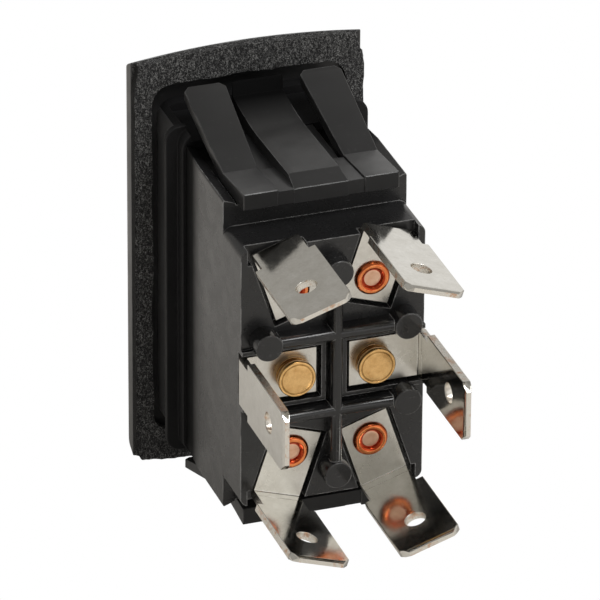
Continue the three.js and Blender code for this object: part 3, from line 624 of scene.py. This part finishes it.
def crush_ribs():
    """Small upright ribs on the waist that grip the edge of the cut-out."""
    c = CRUSH_RIB
    for i, (side, z) in enumerate((side, z) for side in (-1, 1) for z in c.places_z):
        rings = []
        for t in span(-1, 1, 12):
            swell = 0.05 + math.sqrt(max(0.0, 1 - t * t))
            x = side * (SLEEVE.half_x - c.sunk * (1 - swell))
            outline = [(x + a * c.half_x, c.y + b * c.half_y) for a, b in circle((0, 0), swell, 16)]
            rings.append([(a, b, z + t * c.half_z) for a, b in outline])
        piece = smooth(loft(f"crush_rib_{i}", rings), 70)
        fit(piece, "housing", ["bracket"])


def tongue_top():
    """(y, z) along the top of a tongue: down its wall, through a long dip and up to its crest."""
    t = TONGUE
    foot_y, foot_z = TONGUE_WALL[-1]
    top = TONGUE_WALL[:-1]
    for y in span(foot_y, t.dip_y, 12):
        share = (t.dip_y - y) / (t.dip_y - foot_y)
        top.append((y, t.dip_z + (foot_z - t.dip_z) * share ** 1.6))
    for share in (0, 0.02, 0.3, 0.65, 0.99, 1):
        y = t.dip_y + (t.crest_y - t.dip_y) * share
        top.append((y, t.dip_z + (t.crest_z - t.dip_z) * share))
    return top + [(t.crest_y + 0.1, t.crest_z - 0.03)]


def tongue(name, side):
    """The middle tongue: a sheet that curves down from a wall behind the bezel to the sloping bar.
    The dip sweeps forward towards the left."""
    t, sweep, rear = TONGUE, TONGUE_SWEEP, WING.rear_y - 0.06
    flush = WING.rear_z - WING.drop
    edge = 0.06
    rings = []
    for y, top in [*tongue_top(), (rear - edge, flush + 0.02), (rear, flush - 0.05)]:
        share = max(0.0, (y - t.crest_y) / (rear - t.crest_y))
        half = t.half_x + (t.rear_half_x - t.half_x) * share
        forward = sweep.depth * max(0.0, 1 - abs(y - sweep.y) / sweep.reach)
        section = [(-half, y, WING.lip_z), (-half, y, top - edge)]
        for u in span(-0.98, 0.98, 14):
            section.append((u * half, y - forward * ((1 - u) / 2) ** 2, top))
        section += [(half, y, top - edge), (half, y, WING.lip_z)]
        rings.append([(x, b, side * z) for x, b, z in section])
    return loft(name, rings)


def rear_lip(face):
    return face.normal.y > 0.8 and face.center.y > WING.rear_y - 0.3


def bracket_wing(name, side):
    """Tongue, web and middle of the bar that lie on the base."""
    w, web = WING, WEB
    under, rear = w.under_z, w.rear_y - 0.08
    bar = [
        (w.bend_y, under),
        (w.bend_y, w.bend_z - w.drop),
        (rear, w.rear_z - w.drop),
        (rear, w.lip_z),
        (w.step_y, under),
    ]
    fill = [(web.front_y, under), (web.front_y, web.top_z)]
    fill += [(web.rear_y, web.top_z), (web.rear_y, under)]
    mirrored = lambda outline: [(y, side * z) for y, z in outline]
    piece = extruded(name, mirrored(bar), "x", -ARM.inner_x, ARM.inner_x)
    join(piece, [extruded("web", mirrored(fill), "x", -web.half_x, web.half_x)])
    number_faces(soften(piece, 0.08), rear_lip)
    fit(piece, "housing", ["bracket", "matt"])
    piece = number_faces(smooth(tongue("tongue_" + name, side), 25), rear_lip)
    return fit(piece, "housing", ["tongue", "matt"])


def arm_stations():
    """(y, lower z, upper z, inset at the sides) along an arm and the pad behind its bend."""
    w, a = WING, ARM
    tip, bend, step, end, under = a.tip_y, w.bend_y, w.step_y, w.rear_y, w.under_z
    fall = (a.tip_z - w.bend_z) / (bend - tip)
    climb = (w.rear_z - w.bend_z) / (end - bend)

    def upper(y):
        if y < bend:
            return a.tip_z - fall * (y - tip)
        return w.bend_z + climb * (y - bend)

    def lower(y):
        tip_under, root_under = a.tip_z - a.thickness, under + 0.1
        if y < a.hinge_y:
            return tip_under + (root_under - tip_under) * (y - tip) / (a.hinge_y - tip)
        if y < step:
            return under + 0.05
        return under + (w.lip_z - under) * (y - step) / (end - step)

    chamfer, edge, fine = a.chamfer, 0.08, bend - 1.75
    ys = [tip + edge, *span(tip + chamfer, fine, 8), *span(fine, bend - 0.15, 8)]
    ys += [bend - 0.1, bend, bend + 0.1, *span(bend + 0.35, step, 5), step, end - edge]
    stations = [(tip, lower(tip) + edge, upper(tip) - edge, chamfer + edge)]
    stations += [(y, lower(y), upper(y), max(0, tip + chamfer - y)) for y in ys]
    return stations + [(end, lower(end) + edge, upper(end) - edge, edge)]


def rounded_section(x0, x1, z0, z1, radius=0.1):
    left, right, low, high = x0 + radius, x1 - radius, z0 + radius, z1 - radius
    points = []
    for i, corner in enumerate([(right, high), (left, high), (left, low), (right, low)]):
        points += arc(corner, radius, 90 * i, 90 * (i + 1), 3)
    return points


def latch_arm(name, side, x):
    """One spring arm with its pad; on the real switch the arm bends at its root as the switch goes into a
    panel.
    """
    rings = []
    for y, low, high, inset in arm_stations():
        flare = max(0.0, (WING.bend_y - y) / (WING.bend_y - ARM.tip_y))
        inner = ARM.inner_x - ARM.flare_in * flare + inset
        outer = ARM.outer_x + ARM.flare_out * flare - inset
        section = rounded_section(inner, outer, low, high)
        rings.append([(x * across, y, side * z) for across, z in section])
    piece = number_faces(smooth(loft(name, rings), 20), rear_lip)
    fit(piece, None, ["bracket", "matt"], [name])
    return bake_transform(piece)


# ---------------- gasket


def panel_gasket():
    """Foam ring: a wavy hand-cut outline and a torn, grainy skin."""
    g = GASKET
    thickness = g.thickness
    outer = bezel_outline(0.02, 0.02, radius=0.3, long=130, short=70)
    half, middle = (g.hole_top - g.hole_bottom) / 2, (g.hole_top + g.hole_bottom) / 2
    hole = raised(frame_outline(g.hole_x, half, g.hole_radius, long=130, short=70), middle)

    def between(share):
        return [(a + (c - a) * share, b + (d - b) * share) for (a, b), (c, d) in zip(outer, hole)]

    rings = [at_y(between(i / 14), 0.0) for i in range(15)]
    rings += [at_y(hole, -thickness * t) for t in (0.2, 0.4, 0.6, 0.8)]
    rings += [at_y(between(1 - i / 4), -thickness) for i in range(5)]
    rings += [at_y(outer, -thickness * t) for t in (0.8, 0.6, 0.4, 0.2)]
    piece = loft("foam_gasket", rings, cyclic=True)
    for vertex in piece.data.vertices:
        vertex.co = torn(vertex.co.copy())
    smooth(piece, 60)
    return fit(piece, "housing", ["gasket"], ["panel_gasket"])


def torn(p):
    """A point of the gasket moved as rough cutting and handling leave it."""
    wave = noise.noise_vector(p * 0.35) * 0.20 + noise.noise_vector(p * 1.3) * 0.09
    grain = noise.noise_vector(p * 4.5) * 0.05
    lean = 1 if p.y > -1.0 else 0.3
    corner_x, corner_z = BEZEL.half_x, 22
    corner = math.hypot(abs(p.x) - corner_x, abs(p.z) - corner_z)
    torn_off = 1.1 if p.x < 0 < p.z and corner < 1.2 else 0.4
    pulled_in = max(0.0, 1 - corner / 3) * torn_off * lean
    moved = p + Vector((wave.x * lean, min(0.0, grain.y - 0.02), wave.z * lean)) + grain * 0.6
    moved.x -= math.copysign(pulled_in, p.x)
    moved.y = min(max(moved.y, -GASKET.thickness), 0.0)
    moved.x = min(max(moved.x, -BEZEL.half_x), BEZEL.half_x)
    moved.z = min(max(moved.z, BEZEL.bottom_z - BEZEL.rise - 0.3), BEZEL.top_z + BEZEL.rise)
    return moved


# ---------------- base


def turned_about(outline, terminal):
    """Points drawn as (across, outward) from a terminal's rivet, put in place in X and Z."""
    x, z = terminal.rivet
    sine, cosine = math.sin(terminal.turn), math.cos(terminal.turn)
    return [(x + a * cosine + o * sine, z - a * sine + o * cosine) for a, o in outline]


def well_depth(terminal):
    """Where a well starts and ends along Y."""
    return terminal.rear_y - SHEET - 0.05, WELL.kerb_y + PAST


def well_cutter(terminal):
    half = PLATE.width / 2 + WELL.gap
    near, far = -PLATE.behind - WELL.gap, PLATE.reach + WELL.gap
    outline = turned_about([(-half, near), (half, near), (half, far), (-half, far)], terminal)
    return extruded("well", outline, "y", *well_depth(terminal))


def well_mouth(terminal):
    """The opening that lets an outer terminal out over the end of the rear block."""
    across = sorted(terminal.x * x for x in WELL.mouth_x)
    upward = sorted(terminal.z * z for z in (WELL.mouth_z, BODY.rear_half_z + PAST))
    return block("mouth", across, well_depth(terminal), upward)


def well_kerb(terminal):
    """The raised edge round a middle well, open towards the side of the body."""
    rim = WELL.gap + WELL.kerb
    half = PLATE.width / 2 + rim
    x = terminal.x
    across = sorted((x * (POLE_X - PLATE.behind - rim), x * BODY.half_x))
    return block("kerb", across, (BODY.rear_y - PAST, WELL.kerb_y), (-half, half))


def wing_channels():
    """Cutters for the flat bed of each wing, and for the slopes that rise beside it."""
    b, c = BODY, CHANNEL
    front, rear = b.front_y - PAST, b.step_y + 0.1
    inner, outer, top = c.half_x - 0.1, b.half_x + 0.05, b.half_z + 0.1
    slope = [(outer, top), (outer, c.outer_slope_z), (inner, c.inner_slope_z), (inner, top)]
    cutters = []
    for side in (-1, 1):
        upward = sorted((side * c.floor_z, side * (b.half_z + PAST)))
        cutters.append(block("channel", (-c.half_x, c.half_x), (front, rear), upward))
    for side in (-1, 1):
        for hand in (-1, 1):
            placed = [(hand * x, side * z) for x, z in slope]
            cutters.append(extruded("slope", placed, "y", front, rear))
    return cutters


def switch_base():
    """The black moulding: a waisted front, a shelf at each end and a rear block with the wells."""
    b, room = BODY, ROOM
    front, step = b.front_y, b.step_y

    def section(half_x, half_z, corner, y):
        return at_y(frame_outline(half_x, half_z, corner, long=1, short=1), y)

    corner = BODY_CORNER.front
    rings = [
        section(b.half_x - BODY_WAIST.inset, b.half_z, corner, front),
        section(b.half_x, b.half_z, corner, front + BODY_WAIST.length),
        section(b.half_x, b.half_z, corner, step),
    ]
    piece = loft("base_shell", rings)
    rear = [section(b.half_x, b.rear_half_z, BODY_CORNER.rear, y) for y in (step - 0.6, b.rear_y)]
    join(piece, [loft("rear", rear), *[well_kerb(t) for t in TERMINALS if not t.z]])
    across = (-room.half_x, room.half_x)
    near, far = room.half_z, room.rear_half_z
    rooms = [
        block("front_room", across, (front - PAST, room.step_y), (-near, near)),
        block("rear_room", across, (room.step_y - 0.1, room.rear_y), (-far, far)),
    ]
    wells = [well_cutter(t) for t in TERMINALS] + [well_mouth(t) for t in TERMINALS if t.z]
    cut(piece, wing_channels() + rooms + wells)
    soften(piece, 0.12)
    return fit(piece, "housing", ["base"], ["switch_base"])


def shelf_seam():
    """The fine bead of flash along the inner corner of each shelf."""
    for name, side in (("upper", 1), ("lower", -1)):
        y, z = BODY.step_y, BODY.rear_half_z
        rings = []
        for x in span(-8.4, 8.4, 120):
            r = 0.045 + 0.03 * noise.noise((x * 2.3, side, 0.5))
            rings.append([(x, y + a, side * (z + b)) for a, b in circle((0.02, 0.02), r, 8)])
        piece = smooth(loft(f"shelf_seam_{name}", rings), 60)
        fit(piece, "housing", ["base"])


def rib(name, axis, length, offset=0.0):
    """A rib with a round top that stands on the rear face and runs along an axis."""
    half, foot = RIB.width / 2, RIB.foot_y
    section = [(-half, foot), (half, foot), *arc((0, RIB.top_y - half), half, 0, 180, 12)]
    if axis == "x":
        section = [(y, across + offset) for across, y in section]
    return extruded(name, section, axis, -length, length)


def rear_ribs():
    """Cross ribs and heat-staked posts that stand on the rear face between the terminals."""
    piece = rib("base_ribs", "z", RIB.half_z)
    join(piece, [rib("level", "x", RIB.half_x, side * RIB.z) for side in (-1, 1)])
    places = [(0, RIB.half_z), (0, -RIB.half_z)]
    places += [(x * RIB.half_x, z * RIB.z) for x in (-1, 1) for z in (-1, 1)]
    r, foot, end = POST.radius, RIB.foot_y, POST.end_y
    profile = [(0, foot), (r + 0.08, foot), (r + 0.02, end - 0.4), (r, end - 0.12)]
    profile += [*arc((r - 0.1, end - 0.1), 0.1, 0, 90, 4), (0, end)]
    join(piece, [turned("post", profile, place, 48) for place in places])
    soften(piece, 0.07, 40)
    return fit(piece, "housing", ["ribs"])


# ---------------- terminals and rivets


def terminal_strip(rear_y):
    """Plate, bend and neck of one terminal, drawn with its rivet on the Y axis and its blade at +Z."""
    reach, bend = PLATE.reach, PLATE.bend
    front, neck_end = rear_y - SHEET, BLADE.shoulder_y + 0.6
    corner = (front + bend, reach - bend)
    outline = [(rear_y, -PLATE.behind), (front, -PLATE.behind)]
    outline += arc(corner, bend, 180, 90, 10)
    outline += [(neck_end, reach), (neck_end, reach - SHEET)]
    outline += arc(corner, bend - SHEET, 90, 180, 4)
    half = PLATE.width / 2
    return extruded("strip", outline, "x", -half, half)


def terminal_blade():
    """The blade, bevelled and narrowed at its tip so that a receptacle finds it."""
    half, tip, start = BLADE.width / 2, BLADE.tip_y, BLADE.shoulder_y
    middle, thick = PLATE.reach - SHEET / 2, SHEET / 2
    chamfer, bevel, edge = BLADE.chamfer, BLADE.bevel, 0.06
    stations = [
        (start, half, thick),
        (tip - chamfer, half, thick),
        (tip - bevel, half - chamfer + bevel, thick),
        (tip, half - chamfer, BLADE.tip_thickness / 2),
    ]
    rings = []
    for y, x, z in stations:
        quarter = [(x, z - edge), (x - edge, z)]
        top = quarter + [(-a, b) for a, b in reversed(quarter)]
        section = top + [(-a, -b) for a, b in top]
        rings.append([(a, y, middle + b) for a, b in section])
    return loft("blade", rings)


def blade_hole():
    """A cutter along Z for the locking hole, wider at both faces as a dimple leaves it."""
    y, r = BLADE.tip_y - BLADE.hole_from_tip, BLADE.hole
    inside, outside = PLATE.reach - SHEET, PLATE.reach
    levels = [(inside - PAST, r + 0.2), (inside, r + 0.1), (inside + 0.12, r)]
    levels += [(outside - 0.12, r), (outside, r + 0.1), (outside + PAST, r + 0.2)]
    rings = [[(a, y + b, z) for a, b in circle((0, 0), radius, 40)] for z, radius in levels]
    return loft("hole", rings)


def terminal_piece(terminal):
    """One terminal: a strip and its blade, pierced for the rivet and scored along its bend."""
    name = "terminal_" + terminal.name
    rear_y = terminal.rear_y
    piece = terminal_strip(rear_y)
    piece.name = name
    join(piece, [terminal_blade()])
    cut(piece, [rod("rivet_hole", PLATE.hole, rear_y - SHEET - PAST, rear_y + PAST), blade_hole()])
    soften(piece, 0.05, 40)
    inner, score_y, half = PLATE.reach - SHEET, rear_y + 1.0, PLATE.width / 2 + 0.15
    score = block("scored_line", (-half, half), (score_y, score_y + 0.07), (inner - PAST, inner + 0.03))
    cut(piece, [score])
    settle(piece)
    number_faces(piece, strip_numbers(rear_y + 0.1))
    x, z = terminal.rivet
    piece.data.transform(Matrix.Translation((x, 0, z)) @ Matrix.Rotation(terminal.turn, 4, "Y"))
    return fit(piece, "housing", ["tin", "shear", "worn_tin"], [name])


def strip_numbers(plate_y):
    """1 for the faces that the press cut, 2 for the flat plate in front of plate_y, 0 for the rest."""
    hole_y = BLADE.tip_y - BLADE.hole_from_tip

    def number(face):
        n, c = face.normal, face.center
        side = abs(n.x) > 0.8 and abs(c.x) > 1.7
        tip = n.y > 0.8 and c.y > BLADE.tip_y - 0.3
        back = n.z < -0.8 and c.z < -PLATE.behind + 0.2
        bore = abs(n.z) < 0.9 and math.hypot(c.x, c.y - hole_y) < BLADE.hole + 0.08
        if side or tip or back or bore:
            return 1
        return 2 if n.y > 0.9 and c.y < plate_y else 0

    return number


def rivet_shank(head, seat):
    """A rivet's profile from the head inside the base, along its shank, to the seat of the other."""
    return [
        (0, head.front_y), (head.radius, head.front_y), (head.radius, head.rear_y),
        (SHANK, head.rear_y), (SHANK, seat),
    ]


def ring_numbers(rivet, rings, cap_y=HEADS_FROM_Y):
    """The number of the first of a rivet's (radius, number) rings that holds a face of its head.
    Under a cap at cap_y it is 1 all round, and on the shank it is 0."""

    def number(face):
        x, y, z = face.center
        if y < HEADS_FROM_Y:
            return 0
        if y < cap_y:
            return 1
        across = math.hypot(x - rivet[0], z - rivet[1])
        return next(value for radius, value in rings if across < radius)

    return number


def eyelet_rivet(terminal):
    """Hollow copper rivet: a rolled rim round a shallow dish."""
    seat = terminal.rear_y + 0.05
    rim, roll, floor = EYELET.rim, EYELET.roll, EYELET.floor
    crest = terminal.rear_y + EYELET.crest
    sunk = crest - EYELET.sunk
    profile = [*rivet_shank(EYELET_INNER_HEAD, seat), (rim - 0.08, seat)]
    for angle in span(10, 90, 8):
        t = math.radians(angle)
        profile.append((roll + (rim - roll) * math.cos(t), seat + (crest - seat) * math.sin(t)))
    for angle in span(100, 170, 7):
        t = math.radians(angle)
        profile.append((roll + (roll - floor - 0.08) * math.cos(t), sunk + (crest - sunk) * math.sin(t)))
    profile += [(floor + 0.05, sunk), (floor, sunk + 0.02), (0.5, sunk + 0.01), (0, sunk)]
    name = "eyelet_rivet_" + terminal.name
    piece = smooth(turned(name, profile, terminal.rivet, 72), 35)
    # The inner wall of the dish and the outer side of the rim get the darker copper, as painted shade and
    # dark reflection.
    rings = [(floor, 1), (1.22, 2), (roll + 0.12, 0), (math.inf, 3)]
    number_faces(piece, ring_numbers(terminal.rivet, rings))
    metals = ["copper", "dull_copper", "shaded_copper", "shaded_rim_copper"]
    return fit(piece, "housing", metals, [name])


def pivot_rivet(terminal):
    """Solid brass rivet: two turned grooves under a flat cap with a fine ring round its face."""
    seat, face, cap = terminal.rear_y + 0.05, CAP.face_y, CAP.radius
    profile = [*rivet_shank(CAP_INNER_HEAD, seat), (cap - 0.12, seat)]
    for middle in (seat + 0.30, seat + 0.66):
        profile += [(cap - 0.08, middle - 0.08), (cap - 0.42, middle)]
        profile += [(cap - 0.42, middle + 0.06), (cap - 0.06, middle + 0.14)]
    edge, ring = 0.16, face - 0.035
    profile += [(cap, seat + 0.95), (cap, face - edge), *arc((cap - edge, face - edge), edge, 15, 90, 5)]
    profile += [(cap - 0.26, face), (cap - 0.30, ring), (cap - 0.36, ring), (cap - 0.42, face - 0.005)]
    profile += [(0.9, face - 0.012), (0, face - 0.016)]
    name = "pivot_rivet_" + terminal.name
    piece = smooth(turned(name, profile, terminal.rivet, 72), 35)
    rings = [(cap - 0.40, 0), (cap - 0.28, 1), (cap - 0.10, 0), (math.inf, 1)]
    number_faces(piece, ring_numbers(terminal.rivet, rings, face - 0.5))
    return fit(piece, "housing", ["brass", "deep_brass"], [name])


# ---------------- rocker


def rocker_paddle():
    """The part a finger presses: a hollowed face between round ends, and open behind."""
    r, hollow = ROCKER, ROCKER_HOLLOW
    angle_at = lambda y: math.degrees(math.atan2(math.sqrt(r.swing ** 2 - y ** 2), y))
    end = arc((0, 0), r.swing, angle_at(r.back_y), angle_at(r.end_y), 8)
    sag = r.centre_y - r.end_y
    radius = (r.end_z ** 2 + sag ** 2) / (2 * sag)
    half = math.degrees(math.asin(r.end_z / radius))
    face = arc((r.centre_y - radius, 0), radius, half, -half, 24)
    outline = [*end, *face[1:-1], *[(y, -z) for y, z in reversed(end)]]
    piece = extruded("rocker_paddle", outline, "x", -r.half_x, r.half_x)
    across, along = (-hollow.half_x, hollow.half_x), (hollow.floor_y, r.back_y + PAST)
    for side in (-1, 1):
        upward = sorted((side * hollow.near_z, side * hollow.far_z))
        cut(piece, [block("hollow", across, along, upward)])
    soften(piece, 0.5, 40, 4)
    return fit(piece, "rocker", ["rocker"], ["rocker_actuator"])


def rocker_core():
    """Hub, trunnions and the two hollow legs behind the paddle."""
    h, t, leg = HUB, TRUNNION, LEG
    across, along = (-h.half_x, h.half_x), (h.front_y, h.rear_y)
    piece = block("rocker_core", across, along, (-h.half_z, h.half_z))
    join(piece, [extruded("trunnions", circle((0, 0), t.radius, 40), "x", -t.half_x, t.half_x)])
    places = [(side * POLE_X, 0) for side in (-1, 1)]
    join(piece, [rod("leg", leg.radius, 0, leg.rear_y, place) for place in places])
    cut(piece, [rod("bore", leg.bore, leg.floor_y, leg.rear_y + PAST, place) for place in places])
    soften(piece, 0.12, 40)
    return fit(piece, "rocker", ["rocker"])


def plunger_spring(hand):
    """A coil between the rocker's leg and its plunger, shorter when the plunger is pushed in."""
    name = "plunger_spring_" + hand
    low, high = [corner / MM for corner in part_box(name)]
    axis = (low + high) / 2
    wire, coil, turns = SPRING.wire, SPRING.coil, SPRING.turns
    rings = []
    for t in span(0, 1, turns * 24):
        angle = math.tau * turns * t
        across, up = math.cos(angle), math.sin(angle)
        y = low.y + wire + (high.y - low.y - 2 * wire) * t
        section = circle((coil, 0), wire, 12)
        rings.append([(axis.x + r * across, y + b, axis.z + r * up) for r, b in section])
    piece = smooth(loft(name + "_coil", rings), 60)
    fit(piece, None, ["spring"], [name])
    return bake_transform(piece)


# ---------------- everything in place


def finish_inner_nodes():
    """The mechanism inside keeps its CAD shapes and gets the materials that its pieces have."""
    looks = {
        "fixed_contact": "silver",
        "contact_cradle": "brass",
        "contact_arm": "copper",
        "moving_contact": "silver",
        "plunger": "plunger",
    }
    for name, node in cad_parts.items():
        prefix = next((p for p in looks if name.startswith(p) and "spring" not in name), None)
        if prefix:
            node.data.materials.clear()
            node.data.materials.append(FINISHES[looks[prefix]])


def build_switch():
    bezel_frame()
    bracket_sleeve()
    crush_ribs()
    for end, side in (("upper", 1), ("lower", -1)):
        bracket_wing(f"bracket_wing_{end}", side)
        for hand, x in HANDS:
            latch_arm(f"latch_arm_{end}_{hand}", side, x)
    panel_gasket()
    switch_base()
    rear_ribs()
    shelf_seam()
    for terminal in TERMINALS:
        terminal_piece(terminal)
        if terminal.z:
            eyelet_rivet(terminal)
        else:
            pivot_rivet(terminal)
    rocker_paddle()
    rocker_core()
    for hand, _ in HANDS:
        plunger_spring(hand)
    finish_inner_nodes()


# ---------------- studio

CAMERA = Sizes(
    azimuth=160.673, elevation=28.143, roll=-0.367, distance=0.700, right=0.005081, down=0.004722, lens=420
)


def view_axes(azimuth, elevation):
    """Right, up and back of a view; azimuth 0 looks along +Y."""
    a, e = math.radians(azimuth), math.radians(elevation)
    right = Vector((math.cos(a), math.sin(a), 0))
    back = Vector((math.sin(a) * math.cos(e), -math.cos(a) * math.cos(e), math.sin(e)))
    return right, back.cross(right), back


def stand(name, data, right, up, back, place):
    """An object at a place, turned so that it looks against back."""
    thing = bpy.data.objects.new(name, data)
    thing.matrix_world = Matrix((
        (right.x, up.x, back.x, place.x),
        (right.y, up.y, back.y, place.y),
        (right.z, up.z, back.z, place.z),
        (0, 0, 0, 1),
    ))
    SCENE.collection.objects.link(thing)
    return thing


def place_camera():
    """A long lens from behind, above and slightly to the side."""
    c = CAMERA
    right, up, back = view_axes(c.azimuth, c.elevation)
    place = back * c.distance + right * c.right - up * c.down
    sine, cosine = math.sin(math.radians(c.roll)), math.cos(math.radians(c.roll))
    right, up = right * cosine - up * sine, right * sine + up * cosine
    data = bpy.data.cameras.new("camera")
    data.lens = c.lens
    data.sensor_width = 36
    data.clip_end = 20
    SCENE.camera = stand("camera", data, right, up, back, place)


def soft_box(name, azimuth, elevation, distance, size, radiance):
    """An area light aimed at the switch, as bright as radiance asks whatever its size."""
    light = bpy.data.lights.new(name, "AREA")
    light.shape = "RECTANGLE"
    light.size, light.size_y = size
    light.energy = radiance * math.pi * size[0] * size[1]
    right, up, back = view_axes(azimuth, elevation)
    stand(name, light, right, up, back, back * distance)


def split_by_view(tree, room, white, output):
    """Gives the camera itself plain white, and everything that the light reaches the room."""
    seen = tree.nodes.new("ShaderNodeMixShader")
    path = tree.nodes.new("ShaderNodeLightPath")
    tree.links.new(path.outputs["Is Camera Ray"], seen.inputs[0])
    tree.links.new(room.outputs[0], seen.inputs[1])
    tree.links.new(white.outputs[0], seen.inputs[2])
    tree.links.new(seen.outputs[0], tree.nodes[output].inputs["Surface"])
    white.inputs["Color"].default_value = (1, 1, 1, 1)
    white.inputs["Strength"].default_value = 1


def light_studio():
    """A pale room, a high lamp behind the switch and two low panels beyond its ends."""
    soft_box("high_lamp", 205, 58, 0.5, (0.2, 0.2), 8.0)
    soft_box("rear_panel", 215, 12, 0.5, (0.45, 0.3), 0.85)
    soft_box("front_panel", 342, 14, 0.6, (0.6, 0.26), 0.49)
    world = bpy.data.worlds.new("studio")
    world.use_nodes = True
    tree = world.node_tree
    room = tree.nodes["Background"]
    room.inputs["Color"].default_value = (1.0, 0.975, 0.93, 1)
    room.inputs["Strength"].default_value = 0.42
    split_by_view(tree, room, tree.nodes.new("ShaderNodeBackground"), "World Output")
    SCENE.world = world


def pale_floor():
    """A light floor for everything that it reflects in, pure white to the camera itself."""
    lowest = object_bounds()[0][2]
    bpy.ops.mesh.primitive_plane_add(size=8, location=(0, 0, lowest - 0.0002))
    floor = bpy.context.object
    floor.name = "floor"
    material = bpy.data.materials.new("pale_floor")
    material.use_nodes = True
    tree = material.node_tree
    shader = tree.nodes["Principled BSDF"]
    shader.inputs["Base Color"].default_value = (0.74, 0.715, 0.68, 1)
    shader.inputs["Roughness"].default_value = 0.9
    shader.inputs["Emission Color"].default_value = (1.0, 0.97, 0.92, 1)
    shader.inputs["Emission Strength"].default_value = 0.12
    split_by_view(tree, shader, tree.nodes.new("ShaderNodeEmission"), "Material Output")
    floor.data.materials.append(material)
    floor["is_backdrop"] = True


SCENE.view_settings.view_transform = "Standard"
place_camera()
light_studio()
build_switch()
pale_floor()
